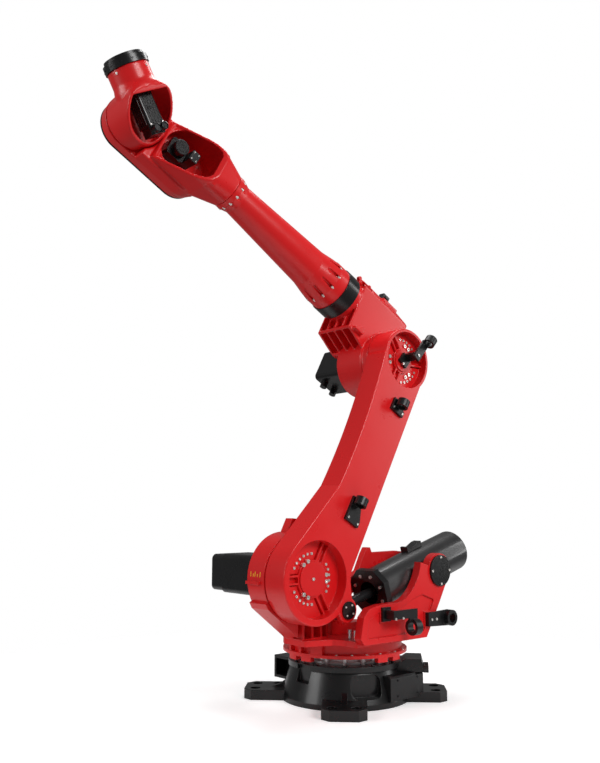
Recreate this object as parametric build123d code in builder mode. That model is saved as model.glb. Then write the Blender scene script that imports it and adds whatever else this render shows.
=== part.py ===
from build123d import *
import os
from math import atan2, cos, degrees, radians, sin

os.makedirs("parts", exist_ok=True)

# Main sizes of the arm, in millimetres and degrees.
# +X points to the front, +Y to the left side, +Z up, with the origin on the floor under the slewing axis.
shoulder_forward = 453.0      # shoulder axis ahead of the slewing axis
shoulder_height = 615.0       # shoulder axis above the floor
arm_length = 1250.0           # shoulder axis to elbow axis
arm_lean = 30.4               # lower arm leans back from the vertical
forearm_offset = 221.0        # forearm axis above the elbow axis
forearm_rise = 28.2           # forearm points up from the horizontal
forearm_reach = 1718.0        # elbow axis to wrist axis, along the forearm
wrist_bend = 32.1             # tool axis turned up from the forearm axis

# Gaps and cuts shared by all pieces.
seat_gap = 0.3                # between a piece and the piece that turns on it
swing_gap = 6.0               # between castings that swing past each other
overrun = 20.0                # how far a cut runs past the surface
edge_round = 6.0              # rounding of cast edges

# Widths across the robot, measured from its middle plane.
arm_outer = 300.0
arm_thickness = 130.0
arm_inner = arm_outer - arm_thickness
housing_side = arm_inner - swing_gap
balancer_middle = 235.0       # middle plane of the balancer and its rod

shoulder = Vector(shoulder_forward, 0, shoulder_height)
arm_dir = Vector(-sin(radians(arm_lean)), 0, cos(radians(arm_lean)))
elbow = shoulder + arm_dir * arm_length
forearm_dir = Vector(cos(radians(forearm_rise)), 0, sin(radians(forearm_rise)))
forearm_up = Vector(-sin(radians(forearm_rise)), 0, cos(radians(forearm_rise)))
forearm_origin = elbow + forearm_up * forearm_offset
wrist = forearm_origin + forearm_dir * forearm_reach
tool_angle = forearm_rise + wrist_bend
tool_dir = Vector(cos(radians(tool_angle)), 0, sin(radians(tool_angle)))


def across(side):
    """A vector that moves a point to the plane that lies this far to the left."""
    return Vector(0, side, 0)


def side_plane(point, side, direction=Vector(1, 0, 0)):
    """Upright plane at a side, seen from the left, with its first axis along the direction."""
    return Plane(origin=point + across(side), x_dir=direction, z_dir=(0, -1, 0))


def along_plane(point, direction, distance, side=0):
    """Plane square to a direction, with its first axis across the robot."""
    return Plane(origin=point + direction * distance + across(side), x_dir=(0, 1, 0), z_dir=direction)


def polar_plane(turn, height):
    """Level plane turned about the slewing axis, with its first axis pointing outwards."""
    angle = radians(turn)
    return Plane(origin=(0, 0, height), x_dir=(cos(angle), sin(angle), 0), z_dir=(0, 0, 1))


def radial_plane(turn, side=0):
    """Upright plane through the slewing axis, or beside it, with its first axis pointing outwards."""
    angle = radians(turn)
    square = Vector(sin(angle), -cos(angle), 0)
    return Plane(origin=square * side, x_dir=(cos(angle), sin(angle), 0), z_dir=square)


# Base casting: a short drum on four splayed feet, with a machined rim for the slewing bearing.
drum_foot_radius = 318.0
drum_top_radius = 272.0
rim_radius = 284.0
rim_height = 26.0
base_height = 190.0
foot_hole_reach = 445.0
foot_hole_apart = 110.0
foot_hole_radius = 14.0
foot_hole_sink_radius = 25.0
foot_hole_sink = 12.0
foot_margin = 55.0            # foot end beyond its bolt holes
foot_half_width = 104.0
foot_height = 48.0
foot_corner = 38.0
foot_rib_reach = 392.0
foot_rib_high = 114.0
foot_rib_width = 26.0
foot_count = 4
foot_first_turn = 45.0
pad_turn = 0.5                # flat pad with a screw at the front of the drum
pad_depth_radius = 264.0
pad_width = 84.0
pad_low = 105.0
pad_high = 187.0
arch_turn = 66.0              # arched pocket between the front left foot and the connector box
arch_depth_radius = 252.0
arch_width = 150.0
arch_low = 48.0
arch_high = 152.0
arch_round = 34.0

foot_reach = foot_hole_reach + foot_margin
foot_root = drum_top_radius - foot_margin
drum_side_points = [
    (drum_foot_radius, 0),
    (drum_foot_radius, foot_height / 2),
    (drum_top_radius, base_height - rim_height),
    (rim_radius, base_height - rim_height),
    (rim_radius, base_height),
]
foot_outline = [
    (foot_root, -foot_half_width),
    (foot_reach - foot_corner, -foot_half_width),
    (foot_reach, foot_corner - foot_half_width),
    (foot_reach, foot_half_width - foot_corner),
    (foot_reach - foot_corner, foot_half_width),
    (foot_root, foot_half_width),
]

with BuildPart() as base_casting:
    with BuildSketch(Plane.XZ):
        with BuildLine():
            Polyline((0, 0), *drum_side_points, (0, base_height), close=True)
        make_face()
    revolve(axis=Axis.Z)
    for turn in range(foot_count):
        foot_turn = foot_first_turn + turn * 360 / foot_count
        with BuildSketch(polar_plane(foot_turn, 0)):
            with BuildLine():
                Polyline(*foot_outline, close=True)
            make_face()
        extrude(amount=foot_height)
        with BuildSketch(radial_plane(foot_turn)):
            with BuildLine():
                ThreePointArc(
                    (foot_rib_reach, foot_height),
                    ((foot_rib_reach + 2 * drum_top_radius) / 3, (foot_rib_high + 2 * foot_height) / 3),
                    (drum_top_radius, foot_rib_high),
                )
                Polyline(
                    (drum_top_radius, foot_rib_high),
                    (foot_root, foot_rib_high),
                    (foot_root, foot_height / 2),
                    (foot_rib_reach, foot_height / 2),
                    (foot_rib_reach, foot_height),
                )
            make_face()
        extrude(amount=foot_rib_width / 2, both=True)
        with BuildSketch(polar_plane(foot_turn, foot_height)):
            with Locations((foot_hole_reach, foot_hole_apart / 2), (foot_hole_reach, -foot_hole_apart / 2)):
                Circle(foot_hole_sink_radius)
        extrude(amount=-foot_hole_sink, mode=Mode.SUBTRACT)
        with BuildSketch(polar_plane(foot_turn, 0)):
            with Locations((foot_hole_reach, foot_hole_apart / 2), (foot_hole_reach, -foot_hole_apart / 2)):
                Circle(foot_hole_radius)
        extrude(amount=foot_height, mode=Mode.SUBTRACT)
    with BuildSketch(polar_plane(pad_turn, pad_low)):
        with Locations((pad_depth_radius + drum_foot_radius / 2, 0)):
            Rectangle(drum_foot_radius, pad_width)
    extrude(amount=pad_high - pad_low, mode=Mode.SUBTRACT)
    arch_middle = Vector(cos(radians(arch_turn)), sin(radians(arch_turn)), 0) * arch_depth_radius
    arch_middle += Vector(0, 0, (arch_low + arch_high) / 2)
    arch_square = Vector(cos(radians(arch_turn)), sin(radians(arch_turn)), 0)
    with BuildSketch(Plane(origin=arch_middle, x_dir=(0, 0, 1), z_dir=arch_square)):
        RectangleRounded(arch_high - arch_low, arch_width, arch_round)
    extrude(amount=drum_foot_radius, mode=Mode.SUBTRACT)
base_casting.part.label = "base_casting"
export_step(base_casting.part, "parts/base_casting.step")

# Slewing bearing: a core on the base rim, with a circle of guide pins that show in the windows of the ring.
bearing_radius = 209.0
bearing_core_radius = 190.0
bearing_height = 20.5
bearing_pin_height = 42.0
bearing_pin_radius = 10.0
bearing_pin_reach = 215.0
bearing_pin_turn = 21.5
bearing_pin_count = 15

with BuildPart() as slew_bearing:
    with BuildSketch(polar_plane(bearing_pin_turn, base_height)):
        Circle(bearing_radius)
        with PolarLocations(bearing_pin_reach, bearing_pin_count):
            Circle(bearing_pin_radius)
    extrude(amount=bearing_height / 2)
    with BuildSketch(polar_plane(bearing_pin_turn, base_height)):
        Circle(bearing_core_radius)
    extrude(amount=bearing_height - seat_gap)
    with BuildSketch(polar_plane(bearing_pin_turn, base_height)):
        with PolarLocations(bearing_pin_reach, bearing_pin_count):
            Circle(bearing_pin_radius)
    extrude(amount=bearing_pin_height - seat_gap)
slew_bearing.part.label = "slew_bearing"
export_step(slew_bearing.part, "parts/slew_bearing.step")

# Service box on the right of the base, with a window in the side that faces forwards.
service_box_half = 112.0
service_box_reach = 420.0
service_box_low = 50.0
service_box_high = 162.0
service_box_wall = 14.0
service_window_depth = 70.0
service_window_length = 108.0

# Connector boxes on the left of the base: a low one, and a higher one behind it with three cable sockets.
connector_box_front = 22.0
connector_box_rear = -212.0
connector_box_reach = 330.0
connector_box_low = 30.0
connector_box_high = 142.0
connector_box_slope = 38.0
socket_box_turn = 131.0
socket_box_reach = 392.0
socket_box_half = 88.0
socket_box_low = 142.3
socket_box_high = 203.0
socket_box_slope = 44.0
socket_radius = 17.0
socket_length = 24.0
socket_hole_radius = 11.0
socket_count = 3
socket_apart = 46.0

with BuildPart() as service_box:
    with BuildSketch(Plane.XY.offset(service_box_low)):
        with Locations((0, -service_box_reach / 2)):
            Rectangle(2 * service_box_half, service_box_reach)
    extrude(amount=service_box_high - service_box_low)
    window_middle = service_box_wall + service_window_length / 2 - service_box_reach
    with BuildSketch(Plane.XY.offset(service_box_low + service_box_wall)):
        with Locations((service_box_half - service_window_depth / 2, window_middle)):
            Rectangle(service_window_depth, service_window_length)
    extrude(amount=service_box_high - service_box_low - 2 * service_box_wall, mode=Mode.SUBTRACT)
    with BuildSketch(Plane.XZ):
        with BuildLine():
            Polyline(*drum_side_points, (0, base_height), (0, 0), close=True)
        make_face()
    revolve(axis=Axis.Z, mode=Mode.SUBTRACT)
service_box.part.label = "service_box"
export_step(service_box.part, "parts/service_box.step")

with BuildPart() as connector_box:
    with BuildSketch(Plane.YZ.offset(connector_box_rear)):
        with BuildLine():
            Polyline(
                (0, connector_box_low),
                (connector_box_reach, connector_box_low),
                (connector_box_reach, connector_box_high - connector_box_slope / 4),
                (connector_box_reach - connector_box_slope / 4, connector_box_high),
                (drum_top_radius, connector_box_high),
                (0, connector_box_high),
                close=True,
            )
        make_face()
    extrude(amount=connector_box_front - connector_box_rear)
    with BuildSketch(Plane.XZ):
        with BuildLine():
            Polyline(*drum_side_points, (0, base_height), (0, 0), close=True)
        make_face()
    revolve(axis=Axis.Z, mode=Mode.SUBTRACT)
    for turn in range(foot_count):
        foot_turn = foot_first_turn + turn * 360 / foot_count
        with BuildSketch(polar_plane(foot_turn, 0)):
            with Locations(((foot_root + foot_reach) / 2, 0)):
                Rectangle(foot_reach - foot_root, 2 * foot_half_width)
        extrude(amount=foot_height, mode=Mode.SUBTRACT)
        with BuildSketch(radial_plane(foot_turn)):
            with BuildLine():
                Polyline(
                    (foot_root, foot_rib_high),
                    (drum_top_radius, foot_rib_high),
                    (foot_rib_reach, foot_height),
                    (foot_root, foot_height),
                    close=True,
                )
            make_face()
        extrude(amount=foot_rib_width / 2, both=True, mode=Mode.SUBTRACT)
connector_box.part.label = "connector_box"
export_step(connector_box.part, "parts/connector_box.step")

with BuildPart() as socket_box:
    with BuildSketch(radial_plane(socket_box_turn, -socket_box_half)):
        with BuildLine():
            Polyline(
                (0, socket_box_low),
                (socket_box_reach, socket_box_low),
                (socket_box_reach, socket_box_high - socket_box_slope),
                (socket_box_reach - socket_box_slope / 4, socket_box_high),
                (rim_radius + overrun, socket_box_high),
                (rim_radius, base_height),
                (0, base_height),
                close=True,
            )
        make_face()
    extrude(amount=2 * socket_box_half)
    with BuildSketch(Plane.XZ):
        with BuildLine():
            Polyline(*drum_side_points, (0, base_height), (0, 0), close=True)
        make_face()
    revolve(axis=Axis.Z, mode=Mode.SUBTRACT)
socket_box.part.label = "socket_box"
export_step(socket_box.part, "parts/socket_box.step")

socket_end = Vector(cos(radians(socket_box_turn)), sin(radians(socket_box_turn)), 0)
socket_height = (socket_box_low + socket_box_high - socket_box_slope) / 2
socket_plane = Plane(
    origin=socket_end * socket_box_reach + Vector(0, 0, socket_height), x_dir=(0, 0, 1), z_dir=socket_end
)
with BuildPart() as cable_sockets:
    with BuildSketch(socket_plane):
        with GridLocations(socket_apart, socket_apart, 1, socket_count):
            Circle(socket_radius)
            Circle(socket_hole_radius, mode=Mode.SUBTRACT)
    extrude(amount=socket_length)
    with BuildSketch(socket_plane):
        Rectangle(2 * socket_radius, socket_apart * (socket_count - 1))
    extrude(amount=socket_length / 4)
cable_sockets.part.label = "cable_sockets"
export_step(cable_sockets.part, "parts/cable_sockets.step")

# Turret casting: a notched ring and flange, a ribbed deck, and the shoulder housing on its neck.
ring_low = base_height + bearing_height
window_top = base_height + bearing_pin_height
ring_radius = 311.0
ring_top = 247.0
ring_groove_inner = 197.0
ring_skirt_inner = 281.0
ring_groove_rise = 3.0
window_near = (ring_groove_inner + ring_skirt_inner) / 2 + overrun / 2
window_far = ring_radius + 5 * overrun
turret_drum_radius = 286.0
seam_turn = 225.0             # the drum's profile is drawn over a window at the rear
skirt_count = 4               # the skirt reaches down in four short arcs, each with a notch
skirt_half_angle = 14.2
notch_width = 37.0
notch_high = 19.0
deck_thickness = 27.0
deck_low = 304.0
deck_top = deck_low + deck_thickness
deck_front = 427.0
deck_left = 348.0
deck_round = 12.0
gusset_reach = 309.0
gusset_turns = (-14.0, 1.6, 19.7)
gusset_widths = (14.0, 14.0, 62.0)
gusset_sink = 5.0
deck_edge_shares = [
    (1.0, 0.08), (1.0, 0.512), (0.7, 0.645), (0.632, 0.82), (0.632, 1.0), (-0.525, 1.0), (-0.773, 0.72),
    (-0.773, -0.45), (-0.464, -0.86), (0.351, -0.86), (0.6, -0.5), (0.78, -0.07), (0.92, -0.05),
]
housing_radius = 208.0
housing_back = 45.0
neck_front_shares = [(0.82, 0.0), (0.93, 0.07), (0.97, 0.1), (1.4, 0.58), (1.43, 0.66)]
neck_rear = 268.0
neck_pocket_width = 176.0
neck_pocket_depth = 46.0
neck_pocket_low = 14.0
neck_pocket_high = 84.0
neck_rib_width = 13.0
neck_rib_count = 3
neck_rib_apart = 56.0
horn_height = 62.0
horn_base_width = 84.0
horn_top_width = 34.0
horn_thickness = 50.0
horn_back = 58.0
horn_turn = 6.0
index_lug_turn = 4.0
index_lug_width = 14.0
index_lug_reach = 12.0
index_lug_length = 96.0

housing_depth = housing_side - housing_back
with BuildPart() as turret_casting:
    with BuildSketch(radial_plane(seam_turn)):
        with BuildLine():
            Polyline(
                (0, ring_low),
                (ring_groove_inner, ring_low),
                (ring_groove_inner, window_top + ring_groove_rise),
                (ring_skirt_inner, window_top + ring_groove_rise),
                (ring_skirt_inner, ring_low),
                (ring_radius, ring_low),
                (ring_radius, ring_top),
                (turret_drum_radius, ring_top),
                (turret_drum_radius, deck_top),
                (0, deck_top),
                close=True,
            )
        make_face()
    revolve(axis=Axis.Z)
    window_half_angle = radians(180 / skirt_count - skirt_half_angle)
    for window in range(skirt_count):
        with BuildSketch(polar_plane((window + 1 / 2) * 360 / skirt_count, ring_low - overrun)):
            with BuildLine():
                Polyline(
                    (window_near * cos(window_half_angle), -window_near * sin(window_half_angle)),
                    (window_far * cos(window_half_angle), -window_far * sin(window_half_angle)),
                    (window_far * cos(window_half_angle), window_far * sin(window_half_angle)),
                    (window_near * cos(window_half_angle), window_near * sin(window_half_angle)),
                    close=True,
                )
            make_face()
        extrude(amount=window_top - ring_low + overrun, mode=Mode.SUBTRACT)
    with BuildSketch(Plane.XY.offset(ring_low)):
        with PolarLocations(ring_radius, skirt_count):
            Rectangle(2 * (ring_radius - ring_skirt_inner) + overrun, notch_width)
    extrude(amount=notch_high, mode=Mode.SUBTRACT)
    with BuildSketch(Plane.XY.offset(deck_low)) as deck_face:
        with BuildLine():
            Polyline(*[(deck_front * x, deck_left * y) for x, y in deck_edge_shares], close=True)
        make_face()
        fillet(deck_face.vertices(), deck_round)
    extrude(amount=deck_thickness)
    for gusset_turn, gusset_width in zip(gusset_turns, gusset_widths):
        with BuildSketch(polar_plane(gusset_turn, ring_top - gusset_sink)):
            with Locations((turret_drum_radius, 0)):
                Rectangle(2 * (gusset_reach - turret_drum_radius), gusset_width)
        extrude(amount=deck_low - ring_top + 2 * gusset_sink)
    with BuildSketch(side_plane(shoulder, housing_side)):
        Circle(housing_radius)
    extrude(amount=housing_depth)
    with BuildSketch(side_plane(Vector(0, 0, 0), housing_side)):
        with BuildLine():
            Polyline(
                (neck_rear, deck_low),
                *[
                    (shoulder_forward * x, deck_low + (shoulder_height - deck_low) * z)
                    for x, z in neck_front_shares
                ],
                (shoulder_forward, shoulder_height),
                (neck_rear, shoulder_height - housing_radius / 3),
                close=True,
            )
        make_face()
    extrude(amount=housing_depth)
    with BuildSketch(side_plane(Vector(0, 0, 0), housing_side)):
        with Locations((neck_rear + neck_rib_width + neck_pocket_width / 2, deck_top + neck_pocket_high / 2)):
            Rectangle(neck_pocket_width, neck_pocket_high - neck_pocket_low)
            with GridLocations(neck_rib_apart, neck_pocket_high, neck_rib_count, 1):
                Rectangle(neck_rib_width, neck_pocket_high, mode=Mode.SUBTRACT)
    extrude(amount=neck_pocket_depth, mode=Mode.SUBTRACT)
    horn_dir = Vector(-sin(radians(horn_turn)), 0, cos(radians(horn_turn)))
    with BuildSketch(side_plane(shoulder, horn_back + horn_thickness, horn_dir)):
        with BuildLine():
            Polyline(
                (housing_radius - overrun, -horn_base_width / 2),
                (housing_radius - overrun, horn_base_width / 2),
                (housing_radius, horn_base_width / 2),
                (housing_radius + horn_height, horn_top_width / 2),
                (housing_radius + horn_height, -horn_top_width / 2),
                (housing_radius, -horn_base_width / 2),
                close=True,
            )
        make_face()
    extrude(amount=horn_thickness)
    lug_dir = Vector(cos(radians(index_lug_turn)), 0, -sin(radians(index_lug_turn)))
    with BuildSketch(along_plane(shoulder, lug_dir, housing_radius - index_lug_reach, housing_back)):
        with Locations((index_lug_length / 2, 0)):
            Rectangle(index_lug_length, index_lug_width)
    extrude(amount=2 * index_lug_reach)
turret_casting.part.label = "turret_casting"
export_step(turret_casting.part, "parts/turret_casting.step")

# Stop pins: two steel pins that stand on the deck behind the neck.
stop_pin_radius = 9.0
stop_pin_height = 42.0
stop_pin_back = 232.0
stop_pin_side = 272.0
stop_pin_apart = 36.0
with BuildPart() as stop_pins:
    with BuildSketch(Plane.XY.offset(deck_top)):
        with Locations((stop_pin_back, stop_pin_side), (stop_pin_back, stop_pin_side + stop_pin_apart)):
            Circle(stop_pin_radius)
    extrude(amount=stop_pin_height)
stop_pins.part.label = "stop_pins"
export_step(stop_pins.part, "parts/stop_pins.step")

# Shoulder motor: square body on a flange behind the shoulder housing.
shoulder_motor_width = 190.0
shoulder_motor_length = 445.0
shoulder_motor_round = 26.0
shoulder_motor_flange_radius = 140.0
shoulder_motor_flange = 46.0
shoulder_motor_step = 96.0

with BuildPart() as shoulder_motor:
    with BuildSketch(side_plane(shoulder, housing_back)):
        Circle(shoulder_motor_flange_radius)
    extrude(amount=shoulder_motor_flange)
    with BuildSketch(side_plane(shoulder, housing_back - shoulder_motor_flange)):
        RectangleRounded(shoulder_motor_width, shoulder_motor_width, shoulder_motor_round)
    extrude(amount=shoulder_motor_length - shoulder_motor_flange - shoulder_motor_step)
    with BuildSketch(side_plane(shoulder, housing_back - shoulder_motor_length + shoulder_motor_step)):
        RectangleRounded(
            shoulder_motor_width - shoulder_motor_round / 2,
            shoulder_motor_width - shoulder_motor_round / 2,
            shoulder_motor_round,
        )
    extrude(amount=shoulder_motor_step)
shoulder_motor.part.label = "shoulder_motor"
export_step(shoulder_motor.part, "parts/shoulder_motor.step")

# Slewing motor: stands on the deck at the right rear.
slew_motor_width = 160.0
slew_motor_height = 280.0
slew_motor_back = -60.0
slew_motor_side = -190.0
slew_motor_flange_radius = 95.0
slew_motor_flange = 40.0

with BuildPart() as slew_motor:
    with BuildSketch(Plane.XY.offset(deck_top)):
        with Locations((slew_motor_back, slew_motor_side)):
            Circle(slew_motor_flange_radius)
    extrude(amount=slew_motor_flange)
    with BuildSketch(Plane.XY.offset(deck_top + slew_motor_flange)):
        with Locations((slew_motor_back, slew_motor_side)):
            RectangleRounded(slew_motor_width, slew_motor_width, slew_motor_width / 8)
    extrude(amount=slew_motor_height - slew_motor_flange)
slew_motor.part.label = "slew_motor"
export_step(slew_motor.part, "parts/slew_motor.step")

# Spring balancer: a cylinder hung on trunnions in two brackets, with its rod pinned to the lower arm.
trunnion_back = 736.0         # trunnion axis behind the shoulder axis
trunnion_height = 625.0
pin_behind = 233.0            # rod pin behind the line of the lower arm
pin_below = 35.0              # rod pin below the shoulder axis, along the lower arm
balancer_radius = 105.0
balancer_bore = 56.0
balancer_rear = 313.0
balancer_front = 325.0
balancer_end_wall = 30.0
balancer_end_round = 14.0
balancer_flange_thickness = 34.0
balancer_flange_width = 222.0
rod_radius = 24.0
rod_eye_radius = 50.0
rod_eye_width = 60.0
rod_length = 480.0
rod_nut_radius = 33.0
rod_nut_length = 26.0
rod_eye_gap = 6.0
trunnion_radius = 36.0
trunnion_cap_radius = 76.0
trunnion_cap_thickness = 10.0
bracket_thickness = 42.0
bracket_gap = 8.0
bracket_near = balancer_middle + balancer_radius + bracket_gap
bracket_far = balancer_middle - balancer_radius - bracket_gap
lug_radius = 84.0

trunnion = Vector(shoulder_forward - trunnion_back, 0, trunnion_height)
arm_forward = Vector(cos(radians(arm_lean)), 0, sin(radians(arm_lean)))
rod_pin = shoulder - arm_forward * pin_behind - arm_dir * pin_below
balancer_dir = (rod_pin - trunnion).normalized()

# Places of the two cable clamps on the near bracket.
clamp_plate_thickness = 12.0
clamp_plate_width = 56.0
clamp_plate_height = 64.0
front_clamp_x = 118.0
front_clamp_z = 446.0
front_clamp_arm_end = -14.0
front_clamp_arm_height = 40.0
front_clamp_ring_z = 383.0
front_clamp_ring_side = 452.0
clamp_ring_radius = 38.0
clamp_ring_hole = 23.0
clamp_ring_length = 40.0
rear_clamp_x = -196.0
rear_clamp_z = 398.0
rear_clamp_eye_x = -318.0
rear_clamp_eye_z = 397.0
rear_clamp_side = 412.0
rear_clamp_thickness = 38.0
clamp_pad_rim = 5.0
bracket_face = bracket_near + bracket_thickness

near_bracket_front = 280.0
near_bracket_low = 312.0
bracket_panel_depth = 9.0
bracket_panel_round = 12.0
bracket_reach = near_bracket_front - trunnion.X
bracket_rise = trunnion_height - near_bracket_low
near_top_shares = [(1.0, 0.11), (0.963, 0.41), (0.892, 0.527), (0.773, 0.565), (0.592, 0.572)]
near_curve_shares = [(0.592, 0.572), (0.465, 0.614), (0.332, 0.808), (0.247, 1.147)]
near_low_shares = [(-0.103, 0.836), (-0.002, 0.54), (0.19, 0.006), (0.955, 0.02)]
near_panel_shares = [
    (0.225, 0.1), (0.93, 0.1), (0.9, 0.36), (0.78, 0.46), (0.56, 0.46), (0.36, 0.6),
    (0.235, 0.66), (0.08, 0.56),
]

with BuildPart() as near_bracket:
    with BuildSketch(side_plane(trunnion, bracket_near + bracket_thickness)):
        with BuildLine():
            Polyline(*[(bracket_reach * x, bracket_rise * (z - 1)) for x, z in near_top_shares])
            Spline(*[(bracket_reach * x, bracket_rise * (z - 1)) for x, z in near_curve_shares])
            Polyline(
                (bracket_reach * near_curve_shares[-1][0], bracket_rise * (near_curve_shares[-1][1] - 1)),
                (0, 0),
                *[(bracket_reach * x, bracket_rise * (z - 1)) for x, z in near_low_shares],
                (bracket_reach * near_top_shares[0][0], bracket_rise * (near_top_shares[0][1] - 1)),
            )
        make_face()
        Circle(lug_radius)
    extrude(amount=bracket_thickness)
    with BuildSketch(side_plane(trunnion, bracket_near + bracket_thickness)) as near_panel:
        with BuildLine():
            Polyline(*[(bracket_reach * x, bracket_rise * (z - 1)) for x, z in near_panel_shares], close=True)
        make_face()
        fillet(near_panel.vertices(), bracket_panel_round)
    extrude(amount=bracket_panel_depth, mode=Mode.SUBTRACT)
    with BuildSketch(side_plane(Vector(0, 0, 0), bracket_near + bracket_thickness)):
        with Locations((front_clamp_x, front_clamp_z), (rear_clamp_x, rear_clamp_z)):
            Rectangle(clamp_plate_width + 2 * clamp_pad_rim, clamp_plate_height + 2 * clamp_pad_rim)
    extrude(amount=bracket_thickness / 2)
    with BuildSketch(side_plane(trunnion, bracket_near + bracket_thickness)):
        Circle(trunnion_radius)
    extrude(amount=bracket_thickness, mode=Mode.SUBTRACT)
near_bracket.part.label = "near_bracket"
export_step(near_bracket.part, "parts/near_bracket.step")

far_bracket_front = 205.0
far_bracket_thickness = 34.0
far_reach = far_bracket_front - trunnion.X
far_rise = trunnion_height - deck_top
far_edge_shares = [
    (0.12, 0.0), (1.0, 0.0), (1.0, 0.45), (0.9, 0.75), (0.62, 1.0), (0.535, 1.27), (0.49, 1.375),
    (0.445, 1.375), (0.42, 1.286), (0.02, 1.293), (-0.02, 0.98),
]
far_panel_shares = [(0.28, 0.16), (0.86, 0.16), (0.86, 0.42), (0.52, 0.9), (0.3, 0.9), (0.2, 0.62)]

with BuildPart() as far_bracket:
    with BuildSketch(side_plane(trunnion, bracket_far)):
        with BuildLine():
            Polyline(*[(far_reach * x, far_rise * (z - 1)) for x, z in far_edge_shares], close=True)
        make_face()
        Circle(lug_radius)
        with BuildLine():
            Polyline(*[(far_reach * x, far_rise * (z - 1)) for x, z in far_panel_shares], close=True)
        make_face(mode=Mode.SUBTRACT)
        Circle(trunnion_radius, mode=Mode.SUBTRACT)
    extrude(amount=far_bracket_thickness)
far_bracket.part.label = "far_bracket"
export_step(far_bracket.part, "parts/far_bracket.step")

trunnion_reach = bracket_gap + balancer_radius / 4
with BuildPart() as near_trunnion:
    with BuildSketch(side_plane(trunnion, bracket_near + bracket_thickness)):
        Circle(trunnion_radius)
    extrude(amount=bracket_thickness + trunnion_reach)
    with BuildSketch(side_plane(trunnion, bracket_near + bracket_thickness + trunnion_cap_thickness)):
        Circle(trunnion_cap_radius)
    extrude(amount=trunnion_cap_thickness)
near_trunnion.part.label = "near_trunnion"
export_step(near_trunnion.part, "parts/near_trunnion.step")

with BuildPart() as far_trunnion:
    with BuildSketch(side_plane(trunnion, bracket_far + trunnion_reach)):
        Circle(trunnion_radius)
    extrude(amount=far_bracket_thickness + trunnion_reach)
    with BuildSketch(side_plane(trunnion, bracket_far - far_bracket_thickness)):
        Circle(trunnion_cap_radius)
    extrude(amount=trunnion_cap_thickness)
far_trunnion.part.label = "far_trunnion"
export_step(far_trunnion.part, "parts/far_trunnion.step")

with BuildPart() as balancer_cylinder:
    with BuildSketch(along_plane(trunnion, balancer_dir, -balancer_rear, balancer_middle)):
        Circle(balancer_radius)
    extrude(amount=balancer_rear + balancer_front)
    rear_edges = balancer_cylinder.edges().filter_by(GeomType.CIRCLE).sort_by(Axis.X)[0]
    fillet(rear_edges, balancer_end_round)
    with BuildSketch(along_plane(trunnion, balancer_dir, balancer_end_wall - balancer_rear, balancer_middle)):
        Circle(balancer_bore)
    extrude(amount=balancer_rear + balancer_front, mode=Mode.SUBTRACT)
    with BuildSketch(side_plane(trunnion, bracket_near)):
        Circle(trunnion_radius + seat_gap)
    extrude(amount=bracket_near - bracket_far, mode=Mode.SUBTRACT)
balancer_cylinder.part.label = "balancer_cylinder"
export_step(balancer_cylinder.part, "parts/balancer_cylinder.step")

with BuildPart() as balancer_flange:
    with BuildSketch(along_plane(trunnion, balancer_dir, balancer_front, balancer_middle)) as flange_face:
        Rectangle(balancer_flange_width, balancer_flange_width)
        chamfer(flange_face.vertices(), balancer_flange_width / 4)
        Circle(balancer_bore, mode=Mode.SUBTRACT)
    extrude(amount=balancer_flange_thickness)
balancer_flange.part.label = "balancer_flange"
export_step(balancer_flange.part, "parts/balancer_flange.step")

with BuildPart() as balancer_rod:
    with BuildSketch(along_plane(rod_pin, balancer_dir, -rod_length, balancer_middle)):
        Circle(rod_radius)
    extrude(amount=rod_length)
    with BuildSketch(along_plane(rod_pin, balancer_dir, -rod_eye_radius, balancer_middle)):
        RegularPolygon(rod_nut_radius, 6)
    extrude(amount=-rod_nut_length)
    with BuildSketch(side_plane(rod_pin, balancer_middle + rod_eye_width / 2)):
        Circle(rod_eye_radius)
    extrude(amount=rod_eye_width)
    with BuildSketch(side_plane(rod_pin, balancer_middle + rod_eye_width / 2)):
        Circle(rod_radius + seat_gap)
    extrude(amount=rod_eye_width, mode=Mode.SUBTRACT)
balancer_rod.part.label = "balancer_rod"
export_step(balancer_rod.part, "parts/balancer_rod.step")

# Lifting bracket: a strap saddle on top of the balancer cylinder.
saddle_length = 112.0
saddle_width = 46.0
saddle_height = 26.0
saddle_foot = 24.0
with BuildPart() as lifting_bracket:
    with BuildSketch(side_plane(trunnion, balancer_middle + saddle_width / 2, balancer_dir)):
        with BuildLine():
            Polyline(
                (-saddle_length / 2, balancer_radius - saddle_height / 2),
                (-saddle_length / 2, balancer_radius + saddle_height),
                (saddle_foot - saddle_length / 2, balancer_radius + saddle_height),
                (saddle_foot, balancer_radius + saddle_height / 2),
                (saddle_length / 2 - saddle_foot, balancer_radius + saddle_height / 2),
                (saddle_length / 2 - saddle_foot / 2, balancer_radius + saddle_height),
                (saddle_length / 2, balancer_radius + saddle_height),
                (saddle_length / 2, balancer_radius - saddle_height / 2),
                close=True,
            )
        make_face()
    extrude(amount=saddle_width)
    with BuildSketch(along_plane(trunnion, balancer_dir, -saddle_length, balancer_middle)):
        Circle(balancer_radius)
    extrude(amount=2 * saddle_length, mode=Mode.SUBTRACT)
lifting_bracket.part.label = "lifting_bracket"
export_step(lifting_bracket.part, "parts/lifting_bracket.step")

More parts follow.
